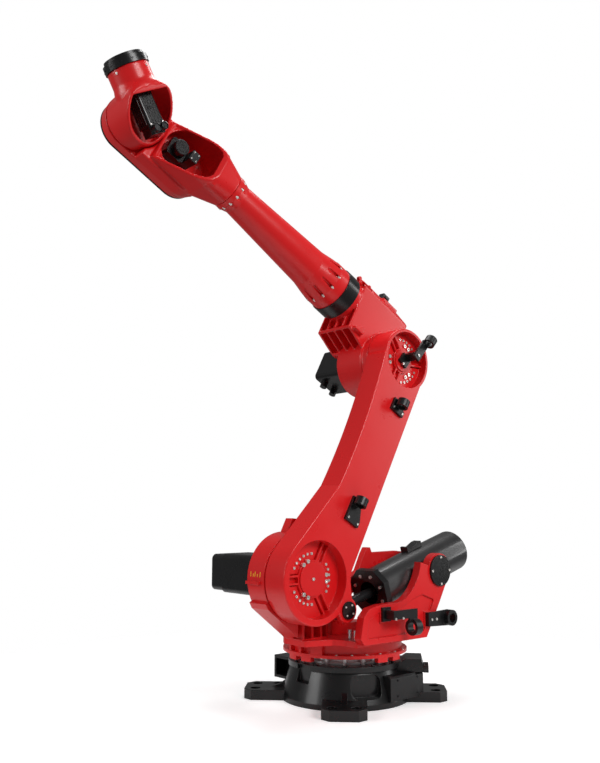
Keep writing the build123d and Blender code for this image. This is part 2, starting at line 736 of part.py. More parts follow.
# Cable clamps on the near bracket: one hangs a ring below an arm at the front, one holds an eye at the rear.
with BuildPart() as front_cable_clamp:
    with BuildSketch(Plane.XZ.offset(-bracket_face)):
        with Locations((front_clamp_x, front_clamp_z)):
            Rectangle(clamp_plate_width, clamp_plate_height)
    extrude(amount=-clamp_plate_thickness)
    with BuildSketch(Plane.XZ.offset(-bracket_face)):
        with Locations((front_clamp_x, front_clamp_z)):
            Rectangle(clamp_plate_width / 2, front_clamp_arm_height)
    extrude(amount=-(front_clamp_ring_side - bracket_face))
    with BuildSketch(Plane.XZ.offset(-front_clamp_ring_side + clamp_plate_thickness / 2)):
        with BuildLine():
            Polyline(
                (front_clamp_x + clamp_plate_width / 4, front_clamp_z + front_clamp_arm_height / 2),
                (front_clamp_arm_end - clamp_ring_radius / 2, front_clamp_z + front_clamp_arm_height / 2),
                (front_clamp_arm_end - clamp_ring_radius / 2, front_clamp_ring_z),
                (front_clamp_arm_end + clamp_ring_radius / 2, front_clamp_ring_z),
                (front_clamp_arm_end + clamp_ring_radius, front_clamp_z - front_clamp_arm_height / 2),
                (front_clamp_x + clamp_plate_width / 4, front_clamp_z - front_clamp_arm_height / 2),
                close=True,
            )
        make_face()
    extrude(amount=-clamp_plate_thickness)
    with BuildSketch(Plane.YZ.offset(front_clamp_arm_end - clamp_ring_length / 2)):
        with Locations((front_clamp_ring_side, front_clamp_ring_z)):
            Circle(clamp_ring_radius)
    extrude(amount=clamp_ring_length)
    with BuildSketch(Plane.YZ.offset(front_clamp_arm_end - clamp_ring_length)):
        with Locations((front_clamp_ring_side, front_clamp_ring_z)):
            Circle(clamp_ring_hole)
    extrude(amount=2 * clamp_ring_length, mode=Mode.SUBTRACT)
front_cable_clamp.part.label = "front_cable_clamp"
export_step(front_cable_clamp.part, "parts/front_cable_clamp.step")

with BuildPart() as rear_cable_clamp:
    with BuildSketch(Plane.XZ.offset(-bracket_face)):
        with Locations((rear_clamp_x, rear_clamp_z)):
            Rectangle(clamp_plate_width, clamp_plate_height)
    extrude(amount=-clamp_plate_thickness)
    with BuildSketch(Plane.XZ.offset(-rear_clamp_side + clamp_plate_thickness)):
        with BuildLine():
            Polyline(
                (rear_clamp_x + clamp_plate_width / 2, rear_clamp_z - clamp_plate_height / 2),
                (rear_clamp_x + clamp_plate_width / 2, rear_clamp_z + clamp_plate_height / 2),
                (rear_clamp_eye_x, rear_clamp_eye_z + clamp_ring_radius),
                (rear_clamp_eye_x, rear_clamp_eye_z - clamp_ring_radius),
                close=True,
            )
        make_face()
    extrude(amount=-clamp_plate_thickness)
    with BuildSketch(Plane.XZ.offset(-rear_clamp_side + clamp_plate_thickness)):
        with Locations((rear_clamp_eye_x, rear_clamp_eye_z)):
            Circle(clamp_ring_radius)
    extrude(amount=-rear_clamp_thickness)
    with BuildSketch(Plane.XZ.offset(-rear_clamp_side + clamp_plate_thickness)):
        with Locations((rear_clamp_eye_x, rear_clamp_eye_z)):
            Circle(clamp_ring_hole)
    extrude(amount=-rear_clamp_thickness, mode=Mode.SUBTRACT)
rear_cable_clamp.part.label = "rear_cable_clamp"
export_step(rear_cable_clamp.part, "parts/rear_cable_clamp.step")

# Lower arm: a thick blade with a deep round recess over the shoulder and another over the elbow.
boss_radius = 205.0
boss_recess_radius = 174.0
boss_recess_depth = 64.0
head_radius = 164.0
head_recess_radius = 147.0
head_recess_depth = 56.0
arm_rear = 172.0
arm_head_rear = 150.0
arm_waist = 98.0
arm_mid = 114.0
arm_head_front = 156.0
shoulder_seat_radius = 140.0
shoulder_bore = 77.0
elbow_seat_radius = 115.0
elbow_bore = 58.0
ear_radius = 58.0
ear_slot_radius = rod_eye_radius + swing_gap
ear_slot_under = 38.0         # the slot is open this far below the rod, for the arm leaning forwards
arm_foot_share = 0.042
arm_waist_share = 0.347
arm_mid_share = 0.717
arm_neck_share = 0.947
spoke_count = 3
spoke_width = 9.0
spoke_apart = 34.0
spoke_height = 20.0
sector_height = 8.0
boss_spoke_turn = 119.6
head_spoke_turn = 59.6

with BuildPart() as lower_arm_casting:
    with BuildSketch(side_plane(shoulder, arm_outer, arm_dir)):
        with BuildLine():
            Polyline(
                (0, -boss_radius),
                (arm_length * arm_foot_share, -boss_radius * cos(radians(15))),
                (arm_length * arm_waist_share, -arm_waist),
            )
            Spline(
                (arm_length * arm_waist_share, -arm_waist),
                (arm_length * arm_mid_share, -arm_mid),
                (arm_length * arm_neck_share, -arm_head_front),
            )
            Polyline(
                (arm_length * arm_neck_share, -arm_head_front),
                (arm_length, -arm_head_front),
                (arm_length, arm_head_rear),
                (0, arm_rear),
                (0, -boss_radius),
            )
        make_face()
        Circle(boss_radius)
        with Locations((arm_length, 0)):
            Circle(head_radius)
        with Locations((-pin_below, pin_behind)):
            Circle(ear_radius)
        with BuildLine():
            Polyline(
                (-pin_below - ear_radius * sin(radians(45)), pin_behind - ear_radius * sin(radians(45))),
                (-boss_radius * sin(radians(45)), boss_radius * sin(radians(45))),
                (0, 0),
                (boss_radius / 2, arm_rear),
                (-pin_below + ear_radius, pin_behind),
                close=True,
            )
        make_face()
    extrude(amount=arm_thickness)
    outer_edges = lower_arm_casting.faces().sort_by(Axis.Y)[-1].edges()
    fillet(outer_edges, edge_round)
    for centre, recess_radius, recess_depth in (
        (shoulder, boss_recess_radius, boss_recess_depth),
        (elbow, head_recess_radius, head_recess_depth),
    ):
        with BuildSketch(side_plane(centre, arm_outer)):
            Circle(recess_radius)
        extrude(amount=recess_depth, mode=Mode.SUBTRACT)
    for centre, recess_radius, recess_depth, hub_radius, spoke_turn in (
        (shoulder, boss_recess_radius, boss_recess_depth, shoulder_bore, boss_spoke_turn),
        (elbow, head_recess_radius, head_recess_depth, elbow_bore, head_spoke_turn),
    ):
        spoke_length = recess_radius - hub_radius
        with BuildSketch(side_plane(centre, arm_outer - recess_depth, arm_dir)):
            Circle(recess_radius)
            Circle(hub_radius + spoke_width, mode=Mode.SUBTRACT)
            with PolarLocations(0, spoke_count, start_angle=spoke_turn):
                with Locations((hub_radius + spoke_length / 2, 0)):
                    Rectangle(
                        spoke_length + 2 * spoke_width, spoke_apart + 2 * spoke_width, mode=Mode.SUBTRACT
                    )
        extrude(amount=-sector_height)
        with BuildSketch(side_plane(centre, arm_outer - recess_depth, arm_dir)):
            with PolarLocations(0, spoke_count, start_angle=spoke_turn):
                with Locations(
                    (hub_radius + spoke_length / 2, spoke_apart / 2),
                    (hub_radius + spoke_length / 2, -spoke_apart / 2),
                ):
                    Rectangle(spoke_length, spoke_width)
            Circle(hub_radius + spoke_width)
        extrude(amount=-spoke_height)
    with BuildSketch(side_plane(shoulder, arm_inner)):
        Circle(shoulder_seat_radius)
    extrude(amount=swing_gap - seat_gap)
    with BuildSketch(side_plane(elbow, arm_inner)):
        Circle(elbow_seat_radius)
    extrude(amount=swing_gap - seat_gap)
    with BuildSketch(side_plane(shoulder, arm_outer)):
        Circle(shoulder_bore)
    extrude(amount=arm_outer, mode=Mode.SUBTRACT)
    with BuildSketch(side_plane(elbow, arm_outer)):
        Circle(elbow_bore)
    extrude(amount=arm_outer, mode=Mode.SUBTRACT)
    with BuildSketch(side_plane(rod_pin, balancer_middle + rod_eye_width / 2 + rod_eye_gap)):
        Circle(ear_slot_radius)
    extrude(amount=rod_eye_width + 2 * rod_eye_gap, mode=Mode.SUBTRACT)
    with BuildSketch(side_plane(rod_pin, balancer_middle + rod_eye_width / 2 + rod_eye_gap, arm_dir)):
        with Locations((0, ear_slot_radius)):
            Rectangle(2 * ear_slot_radius + 2 * overrun, 2 * ear_slot_radius)
        with Locations((-(ear_slot_radius + overrun) / 2, 0)):
            Rectangle(ear_slot_radius + overrun, 2 * ear_slot_under)
    extrude(amount=rod_eye_width + 2 * rod_eye_gap, mode=Mode.SUBTRACT)
    with BuildSketch(side_plane(rod_pin, arm_outer)):
        Circle(rod_radius)
    extrude(amount=arm_thickness, mode=Mode.SUBTRACT)
lower_arm_casting.part.label = "lower_arm_casting"
export_step(lower_arm_casting.part, "parts/lower_arm_casting.step")

hub_rise = 26.0
with BuildPart() as shoulder_hub:
    with BuildSketch(side_plane(shoulder, arm_outer - boss_recess_depth + hub_rise)):
        Circle(shoulder_bore)
    extrude(amount=arm_thickness - boss_recess_depth + hub_rise + swing_gap - seat_gap)
shoulder_hub.part.label = "shoulder_hub"
export_step(shoulder_hub.part, "parts/shoulder_hub.step")

with BuildPart() as elbow_hub:
    with BuildSketch(side_plane(elbow, arm_outer - head_recess_depth + hub_rise)):
        Circle(elbow_bore)
    extrude(amount=arm_thickness - head_recess_depth + hub_rise + swing_gap - seat_gap)
elbow_hub.part.label = "elbow_hub"
export_step(elbow_hub.part, "parts/elbow_hub.step")

rod_pin_cap_radius = 40.0
rod_pin_cap_thickness = 9.0
with BuildPart() as balancer_pin:
    with BuildSketch(side_plane(rod_pin, arm_outer)):
        Circle(rod_radius)
    extrude(amount=arm_thickness)
    with BuildSketch(side_plane(rod_pin, arm_outer + rod_pin_cap_thickness)):
        Circle(rod_pin_cap_radius)
    extrude(amount=rod_pin_cap_thickness)
balancer_pin.part.label = "balancer_pin"
export_step(balancer_pin.part, "parts/balancer_pin.step")

# Cable clips on the face of the lower arm: a plate bolted across the arm, with a ring on its upper end.
clip_foot_length = 28.0
clip_foot_width = 92.0
clip_plate_thickness = 14.0
clip_ring_radius = 31.0
clip_ring_hole = 20.0
clip_ring_length = 40.0
clip_ring_sink = 3.0
lower_clip_share = 0.2624
lower_clip_back = 45.6
lower_clip_ring_along = 88.0
lower_clip_ring_forward = 18.0
upper_clip_share = 0.7725
upper_clip_back = 54.3
upper_clip_ring_along = 30.0
upper_clip_ring_forward = 10.0

clip_ring_middle = arm_outer + clip_plate_thickness + clip_ring_radius - clip_ring_sink
for clip_name, clip_share, clip_back, ring_along, ring_forward in (
    ("lower_cable_clip", lower_clip_share, lower_clip_back, lower_clip_ring_along, lower_clip_ring_forward),
    ("upper_cable_clip", upper_clip_share, upper_clip_back, upper_clip_ring_along, upper_clip_ring_forward),
):
    clip_place = shoulder + arm_dir * (arm_length * clip_share) - arm_forward * clip_back
    clip_ring_place = clip_place + arm_dir * ring_along + arm_forward * ring_forward
    with BuildPart() as cable_clip:
        with BuildSketch(side_plane(clip_place, arm_outer, arm_dir)):
            with BuildLine():
                Polyline(
                    (-clip_foot_length / 2, -clip_foot_width / 2),
                    (-clip_foot_length / 2, clip_foot_width / 2),
                    (clip_foot_length / 2, clip_foot_width / 2),
                    (ring_along, clip_ring_radius / 2),
                    (ring_along + clip_ring_length / 2, clip_ring_radius / 2),
                    (ring_along + clip_ring_length / 2, -clip_foot_width / 2),
                    close=True,
                )
            make_face()
        extrude(amount=-clip_plate_thickness)
        with BuildSketch(along_plane(clip_ring_place, arm_dir, -clip_ring_length / 2, clip_ring_middle)):
            Circle(clip_ring_radius)
        extrude(amount=clip_ring_length)
        with BuildSketch(along_plane(clip_ring_place, arm_dir, -2 * clip_ring_length, clip_ring_middle)):
            Circle(clip_ring_hole)
        extrude(amount=4 * clip_ring_length, mode=Mode.SUBTRACT)
    cable_clip.part.label = clip_name
    export_step(cable_clip.part, "parts/" + clip_name + ".step")

# Elbow cable bracket: a strap bolted to the elbow hub that reaches out past the rim and holds a ring.
strap_foot_length = 56.0
strap_foot_width = 62.0
strap_thickness = 14.0
strap_width = 44.0
strap_turn = 48.0
strap_reach = 96.0
strap_out_side = 362.0
strap_ring_along = 128.0

strap_dir = Vector(-cos(radians(strap_turn)), 0, sin(radians(strap_turn)))
strap_side = arm_outer - head_recess_depth + hub_rise
strap_ring_place = elbow + strap_dir * strap_ring_along
strap_ring_side = strap_out_side + clip_ring_hole
with BuildPart() as elbow_cable_bracket:
    with BuildSketch(side_plane(elbow, strap_side, strap_dir)):
        Rectangle(strap_foot_length, strap_foot_width)
    extrude(amount=-strap_thickness)
    with BuildSketch(side_plane(elbow, strap_side, strap_dir)):
        with Locations((strap_foot_length / 2 - strap_thickness / 2, 0)):
            Rectangle(strap_thickness, strap_width)
    extrude(amount=-(strap_out_side - strap_side))
    with BuildSketch(side_plane(elbow, strap_out_side - strap_thickness, strap_dir)):
        with Locations((strap_reach / 2 + strap_foot_length / 4, 0)):
            Rectangle(strap_reach + strap_foot_length / 2, strap_width)
    extrude(amount=-strap_thickness)
    with BuildSketch(along_plane(strap_ring_place, strap_dir, -clip_ring_length / 2, strap_ring_side)):
        Circle(clip_ring_radius)
    extrude(amount=clip_ring_length)
    with BuildSketch(along_plane(strap_ring_place, strap_dir, -strap_ring_along, strap_ring_side)):
        Circle(clip_ring_hole)
    extrude(amount=2 * strap_ring_along, mode=Mode.SUBTRACT)
elbow_cable_bracket.part.label = "elbow_cable_bracket"
export_step(elbow_cable_bracket.part, "parts/elbow_cable_bracket.step")

# Elbow casting: the elbow bearing housing, and the ribbed box over it that carries the forearm.
elbow_housing_radius = 166.0
elbow_back = -60.0
elbow_boss_radius = 160.0
elbow_box_half = 120.0
elbow_box_front = 300.0
elbow_box_crease = 36.0       # front face bends here, above the elbow axis
elbow_box_heel = 150.0
elbow_box_top = 356.0
elbow_box_back = -6.0
elbow_box_rear = 70.0
elbow_box_rear_top = 326.0
elbow_box_rear_low = 110.0
elbow_bevel_width = 40.0
elbow_bevel_height = 48.0
elbow_wall = 13.0
elbow_rib_width = 11.0
elbow_columns = 4
elbow_pocket_depth = 78.0
elbow_under_depth = 62.0
elbow_top_pocket_side = 60.0
core_radius = 117.0
roll_ring_start = 332.0
roll_ring_length = 82.0
roll_ring_radius = 132.0
roll_flange_radius = 124.0
elbow_motor_width = 186.0
elbow_motor_length = 222.0
elbow_motor_flange_radius = 118.0
elbow_motor_flange = 30.0
elbow_motor_round = 24.0
lug_nub_radius = 13.0
lug_nub_width = 20.0
lug_nub_front = 318.0
lug_nub_rear = 238.0
lug_nub_side = 56.0
ledge_side = 122.0
ledge_depth = 24.0
ledge_front = 278.0
ledge_back = 212.0
ledge_height = 46.0

column_width = (2 * elbow_box_half - 2 * elbow_wall - (elbow_columns - 1) * elbow_rib_width) / elbow_columns
column_pitch = column_width + elbow_rib_width
under_rise = elbow_box_crease + elbow_wall
under_run = elbow_box_front - elbow_box_heel
under_dir = (forearm_dir * under_run + forearm_up * under_rise).normalized()
under_up = Vector(-under_dir.Z, 0, under_dir.X)
under_length = (under_run**2 + under_rise**2) ** 0.5 - 2 * elbow_wall
under_along = elbow_box_front - under_run / 2
under_middle = elbow + forearm_dir * under_along + forearm_up * (elbow_box_crease - under_rise / 2)

with BuildPart() as elbow_casting:
    with BuildSketch(side_plane(elbow, elbow_box_half, forearm_dir)):
        Circle(elbow_housing_radius)
    extrude(amount=elbow_box_half - elbow_back)
    with BuildSketch(side_plane(elbow, housing_side, forearm_dir)):
        Circle(elbow_boss_radius)
    extrude(amount=housing_side - elbow_box_half)
    with BuildSketch(side_plane(elbow, elbow_box_half, forearm_dir)):
        with BuildLine():
            Polyline(
                (-elbow_box_rear, 0),
                (elbow_box_heel, elbow_box_crease - under_rise),
                (elbow_box_front, elbow_box_crease),
                (elbow_box_front, elbow_box_top),
                (elbow_box_back, elbow_box_top),
                (-elbow_box_rear, elbow_box_rear_top),
                (-elbow_box_rear - elbow_box_back, elbow_box_rear_low),
                close=True,
            )
        make_face()
    extrude(amount=2 * elbow_box_half)
    with BuildSketch(along_plane(elbow, forearm_dir, elbow_box_front)):
        with BuildLine():
            Polyline(
                (elbow_box_half - elbow_bevel_width, elbow_box_top),
                (elbow_box_half, elbow_box_top - elbow_bevel_height),
                (elbow_box_half + overrun, elbow_box_top - elbow_bevel_height),
                (elbow_box_half + overrun, elbow_box_top + overrun),
                (elbow_box_half - elbow_bevel_width, elbow_box_top + overrun),
                close=True,
            )
        make_face()
    extrude(amount=-2 * elbow_box_front, mode=Mode.SUBTRACT)
    with BuildSketch(along_plane(forearm_origin, forearm_dir, elbow_box_front)):
        with Locations((0, (elbow_box_crease + elbow_box_top) / 2 - forearm_offset)):
            with GridLocations(column_pitch, elbow_box_top, elbow_columns, 1):
                Rectangle(column_width, elbow_box_top - elbow_box_crease - 2 * elbow_wall)
        Circle(core_radius, mode=Mode.SUBTRACT)
        with Locations((0, elbow_box_top - forearm_offset)):
            Rectangle(2 * elbow_top_pocket_side, elbow_box_top - forearm_offset, mode=Mode.SUBTRACT)
    extrude(amount=-elbow_pocket_depth, mode=Mode.SUBTRACT)
    with BuildSketch(Plane(origin=under_middle, x_dir=(0, 1, 0), z_dir=under_up)):
        with GridLocations(column_pitch, under_length, elbow_columns, 1):
            Rectangle(column_width, under_length)
    extrude(amount=elbow_under_depth, mode=Mode.SUBTRACT)
    with BuildSketch(side_plane(elbow, elbow_box_half, forearm_dir)):
        Circle(elbow_housing_radius)
    extrude(amount=elbow_box_half - elbow_back)
    with BuildSketch(along_plane(forearm_origin, forearm_dir, elbow_box_front - elbow_pocket_depth)):
        Circle(core_radius)
    extrude(amount=elbow_pocket_depth)
    with BuildSketch(along_plane(forearm_origin, forearm_dir, elbow_box_front)):
        Circle(roll_flange_radius)
    extrude(amount=roll_ring_start - elbow_box_front)
    with BuildSketch(side_plane(elbow, elbow_back, forearm_dir)):
        RectangleRounded(
            elbow_motor_width + 2 * swing_gap, elbow_motor_width + 2 * swing_gap, elbow_motor_round
        )
        Circle(elbow_motor_flange_radius + swing_gap)
    extrude(amount=elbow_box_half, mode=Mode.SUBTRACT)
    for nub_along in (lug_nub_front, lug_nub_rear):
        with BuildSketch(side_plane(elbow, lug_nub_side + lug_nub_width, forearm_dir)):
            with Locations((nub_along, elbow_box_top)):
                Circle(lug_nub_radius)
            with Locations((nub_along - lug_nub_radius, elbow_box_top - lug_nub_radius)):
                Rectangle(2 * lug_nub_radius, 2 * lug_nub_radius)
        extrude(amount=lug_nub_width)
    with BuildSketch(side_plane(elbow, ledge_side + ledge_depth, forearm_dir)):
        with BuildLine():
            Polyline(
                (ledge_back, elbow_box_crease),
                (ledge_front, elbow_box_crease),
                (ledge_front, elbow_box_crease + ledge_height / 3),
                (ledge_back, elbow_box_crease + ledge_height),
                close=True,
            )
        make_face()
    extrude(amount=2 * ledge_depth)
elbow_casting.part.label = "elbow_casting"
export_step(elbow_casting.part, "parts/elbow_casting.step")

# Slotted plate and connector on the rear top edge of the elbow box.
plate_back = 4.0
plate_length = 128.0
plate_width = 62.0
plate_side = 49.0
plate_thickness = 16.0
plate_slot_width = 18.0
plate_slot_length = 76.0
plug_length = 52.0
plug_width = 40.0
plug_height = 34.0

plate_foot = elbow + across(plate_side) + forearm_up * elbow_box_top
plug_along = plate_back + elbow_box_back + plate_length - plug_length / 2
with BuildPart() as elbow_top_plate:
    with BuildSketch(Plane(origin=plate_foot, x_dir=forearm_dir, z_dir=forearm_up)):
        with Locations((plate_back + elbow_box_back + plate_length / 2, 0)):
            RectangleRounded(plate_length, plate_width, plate_width / 5)
            SlotOverall(plate_slot_length, plate_slot_width, mode=Mode.SUBTRACT)
    extrude(amount=plate_thickness)
elbow_top_plate.part.label = "elbow_top_plate"
export_step(elbow_top_plate.part, "parts/elbow_top_plate.step")

with BuildPart() as elbow_connector:
    with BuildSketch(Plane(
        origin=plate_foot + forearm_up * plate_thickness, x_dir=forearm_dir, z_dir=forearm_up
    )):
        with Locations((plug_along, 0)):
            RectangleRounded(plug_length, plug_width, plug_width / 8)
    extrude(amount=plug_height)
    plug_latch_place = plate_foot + forearm_up * (plate_thickness + plug_height / 3)
    with BuildSketch(Plane(origin=plug_latch_place, x_dir=forearm_dir, z_dir=forearm_up)):
        with Locations((plug_along, 0)):
            Rectangle(plug_length / 2, plug_width + plug_height / 2)
    extrude(amount=plug_height / 3)
elbow_connector.part.label = "elbow_connector"
export_step(elbow_connector.part, "parts/elbow_connector.step")

# Elbow motor: square body behind the elbow housing, with two connector stubs under its end.
motor_stub_radius = 19.0
motor_stub_length = 34.0
motor_stub_apart = 78.0
motor_stub_back = 38.0

with BuildPart() as elbow_motor:
    with BuildSketch(side_plane(elbow, elbow_back, forearm_dir)):
        Circle(elbow_motor_flange_radius)
    extrude(amount=elbow_motor_flange)
    with BuildSketch(side_plane(elbow, elbow_back - elbow_motor_flange, forearm_dir)):
        RectangleRounded(elbow_motor_width, elbow_motor_width, elbow_motor_round)
    extrude(amount=elbow_motor_length - elbow_motor_flange)
    stub_side = elbow_back - elbow_motor_length + motor_stub_back
    stub_place = elbow + across(stub_side) - forearm_up * (elbow_motor_width / 2)
    with BuildSketch(Plane(origin=stub_place, x_dir=forearm_dir, z_dir=forearm_up)):
        with GridLocations(motor_stub_apart, motor_stub_apart, 2, 1):
            Circle(motor_stub_radius)
    extrude(amount=-motor_stub_length)
elbow_motor.part.label = "elbow_motor"
export_step(elbow_motor.part, "parts/elbow_motor.step")

with BuildPart() as roll_reducer:
    with BuildSketch(along_plane(forearm_origin, forearm_dir, roll_ring_start)):
        Circle(roll_ring_radius)
    extrude(amount=roll_ring_length)
roll_reducer.part.label = "roll_reducer"
export_step(roll_reducer.part, "parts/roll_reducer.step")

# Forearm tube: a long taper between a slotted flange at the roll reducer and one at the wrist.
tube_start = roll_ring_start + roll_ring_length + seat_gap
tube_flange_radius = 127.0
tube_flange_length = 66.0
tube_shoulder_radius = 119.0
tube_shoulder = 120.0
tube_root_radius = 107.0
tube_tip_radius = 79.0
tube_root = 185.0
tube_tip = 66.0
tube_end_radius = 92.0
tube_end_length = 26.0
tube_bore = 50.0
tube_slot_count = 12
tube_slot_turn = -2.0
tube_slot_radius = 10.0
tube_slot_length = 78.0
wrist_body_length = 523.0     # wrist flange of the tube to the wrist axis
tube_end = forearm_reach - wrist_body_length

with BuildPart() as forearm_tube:
    with BuildSketch(side_plane(forearm_origin, 0, forearm_dir)):
        with BuildLine():
            Polyline(
                (tube_start, tube_bore),
                (tube_start, tube_flange_radius),
                (tube_start + tube_flange_length, tube_flange_radius),
                (tube_start + tube_shoulder, tube_shoulder_radius),
                (tube_start + tube_root, tube_root_radius),
                (tube_end - tube_tip, tube_tip_radius),
                (tube_end - tube_end_length, tube_end_radius),
                (tube_end, tube_end_radius),
                (tube_end, tube_bore),
                close=True,
            )
        make_face()
    revolve(axis=Axis(forearm_origin, forearm_dir))
    with BuildSketch(along_plane(forearm_origin, forearm_dir, tube_start + tube_flange_length)):
        with PolarLocations(tube_shoulder_radius, tube_slot_count, start_angle=tube_slot_turn):
            Circle(tube_slot_radius)
    extrude(amount=tube_slot_length, mode=Mode.SUBTRACT)
    with BuildSketch(along_plane(forearm_origin, forearm_dir, tube_end - tube_end_length)):
        with PolarLocations(tube_end_radius, tube_slot_count, start_angle=tube_slot_turn):
            Circle(tube_slot_radius)
    extrude(amount=-tube_slot_length, mode=Mode.SUBTRACT)
forearm_tube.part.label = "forearm_tube"
export_step(forearm_tube.part, "parts/forearm_tube.step")

# Wrist housing: a rounded body cut off on a slant, open to its cavity, beside a flat drive case.
wrist_side = -125.0           # plane where the tilting housing meets the drive case
wrist_radius = 132.0
case_back = -195.0
case_radius = 121.0
case_length = 318.0
body_start = 388.0            # full body begins this far behind the wrist axis
body_near = 108.0
body_half_height = 118.0
body_round = 70.0
saddle_rise = 66.0            # the case goes on this far past the drum's side as a saddle around the drum
saddle_end = 95.0             # the saddle stops this far behind the wrist axis, clear of the swinging neck
cavity_wall = 14.0
slant_start = 412.0           # slanted rim begins this far behind the wrist axis
slant_fall = 158.0
cover_thickness = 8.0

tower_end = forearm_reach - wrist_radius - swing_gap
body_low = wrist_side - swing_gap
body_width = body_near - body_low
body_middle = (body_near + body_low) / 2
case_rear = forearm_reach - case_length
case_taper = degrees(atan2(wrist_radius - case_radius, body_low - case_back))
flat_forearm = Plane(origin=forearm_origin, x_dir=forearm_dir, z_dir=forearm_up)
slant_points = [
    (forearm_reach - slant_start, body_near),
    (tower_end + overrun, body_near - slant_fall - overrun / 2),
    (tower_end + overrun, body_near + body_near),
    (forearm_reach - slant_start, body_near + body_near),
]
body_begin = forearm_reach - body_start
cavity_width = body_width - 2 * cavity_wall
cavity_height = 2 * (body_half_height - cavity_wall)
throat_width = 2 * (tube_end_radius - cavity_wall)

with BuildPart() as wrist_housing:
    with BuildSketch(along_plane(forearm_origin, forearm_dir, tube_end)):
        RectangleRounded(2 * tube_end_radius, 2 * tube_end_radius, tube_end_radius - seat_gap)
    with BuildSketch(along_plane(forearm_origin, forearm_dir, body_begin, body_middle)):
        RectangleRounded(body_width, 2 * body_half_height, body_round)
    loft()
    with BuildSketch(along_plane(forearm_origin, forearm_dir, body_begin, body_middle)):
        RectangleRounded(body_width, 2 * body_half_height, body_round)
    extrude(amount=tower_end - body_begin)
    with BuildSketch(side_plane(forearm_origin, body_low, forearm_dir)):
        with Locations(((case_rear + forearm_reach) / 2, 0)):
            SlotOverall(case_length + 2 * wrist_radius, 2 * wrist_radius)
    extrude(amount=body_low - case_back, taper=case_taper)
    with BuildSketch(side_plane(forearm_origin, body_low + saddle_rise, forearm_dir)):
        with Locations(((case_rear + forearm_reach) / 2, 0)):
            SlotOverall(case_length + 2 * wrist_radius, 2 * wrist_radius)
        with Locations((forearm_reach, 0)):
            Circle(wrist_radius + swing_gap, mode=Mode.SUBTRACT)
        with Locations((forearm_reach - saddle_end + wrist_radius, 0)):
            Rectangle(2 * wrist_radius, 2 * wrist_radius + overrun, mode=Mode.SUBTRACT)
    extrude(amount=saddle_rise)
    with BuildSketch(flat_forearm):
        with BuildLine():
            Polyline(*slant_points, close=True)
        make_face()
    extrude(amount=wrist_radius, both=True, mode=Mode.SUBTRACT)
    with BuildSketch(along_plane(forearm_origin, forearm_dir, (2 * body_begin + tube_end) / 3)):
        RectangleRounded(throat_width, throat_width, body_round - cavity_wall)
    with BuildSketch(along_plane(forearm_origin, forearm_dir, body_begin + cavity_wall, body_middle)):
        RectangleRounded(cavity_width, cavity_height, body_round - cavity_wall)
    loft(mode=Mode.SUBTRACT)
    with BuildSketch(along_plane(forearm_origin, forearm_dir, body_begin + cavity_wall, body_middle)):
        RectangleRounded(cavity_width, cavity_height, body_round - cavity_wall)
    extrude(amount=tower_end - body_begin - 2 * cavity_wall, mode=Mode.SUBTRACT)
wrist_housing.part.label = "wrist_housing"
export_step(wrist_housing.part, "parts/wrist_housing.step")

with BuildPart() as wrist_cover:
    with BuildSketch(side_plane(forearm_origin, case_back, forearm_dir)):
        with Locations(((case_rear + forearm_reach) / 2, 0)):
            SlotOverall(case_length + 2 * case_radius, 2 * case_radius)
    extrude(amount=cover_thickness)
wrist_cover.part.label = "wrist_cover"
export_step(wrist_cover.part, "parts/wrist_cover.step")

wrist_motor_width = 96.0
wrist_motor_round = 16.0
wrist_motor_near = -34.0
wrist_motor_drum = 38.0
wrist_motor_drum_near = 4.0
wrist_motor_gap = 22.0
wrist_plug_length = 56.0
wrist_plug_width = 44.0
wrist_plug_near = 16.0
wrist_plug_gap = 24.0
motor_floor = body_low + cavity_wall
wrist_motor_along = tower_end - cavity_wall - wrist_motor_gap - wrist_motor_width / 2

with BuildPart() as wrist_motor:
    with BuildSketch(side_plane(forearm_origin, wrist_motor_near, forearm_dir)):
        with Locations((wrist_motor_along, 0)):
            RectangleRounded(wrist_motor_width, wrist_motor_width, wrist_motor_round)
    extrude(amount=wrist_motor_near - motor_floor)
    with BuildSketch(side_plane(forearm_origin, wrist_motor_drum_near, forearm_dir)):
        with Locations((wrist_motor_along, 0)):
            Circle(wrist_motor_drum)
    extrude(amount=wrist_motor_drum_near - wrist_motor_near)
wrist_motor.part.label = "wrist_motor"
export_step(wrist_motor.part, "parts/wrist_motor.step")

with BuildPart() as wrist_connector:
    with BuildSketch(side_plane(forearm_origin, wrist_plug_near, forearm_dir)):
        with Locations((wrist_motor_along - wrist_motor_width / 2 - wrist_plug_gap, 0)):
            RectangleRounded(wrist_plug_width, wrist_plug_length, wrist_plug_width / 8)
    extrude(amount=wrist_plug_near - motor_floor)
wrist_connector.part.label = "wrist_connector"
export_step(wrist_connector.part, "parts/wrist_connector.step")

# Tilting wrist housing: a drum on the wrist axis, cut open on a slant, with a neck for the tool reducer.
neck_radius = 97.0
neck_root_radius = 112.0
neck_root = 100.0
neck_end = 204.0
drum_near = 104.0
drum_round = 30.0
drum_slant_front = 96.0
drum_slant_fall = 166.0
tilt_seat_radius = 78.0
tool_ring_radius = 103.0
tool_ring_length = 34.0
tool_lip_radius = 96.0
tool_lip_length = 4.0
tool_flange_radius = 92.0
tool_flange_length = 12.0
tool_motor_width = 90.0
tool_motor_round = 12.0
tool_motor_start = 98.0
tool_motor_seat_radius = 68.0
tool_motor_rear = 66.0
tool_motor_cap_width = 78.0
tool_motor_cap = 40.0

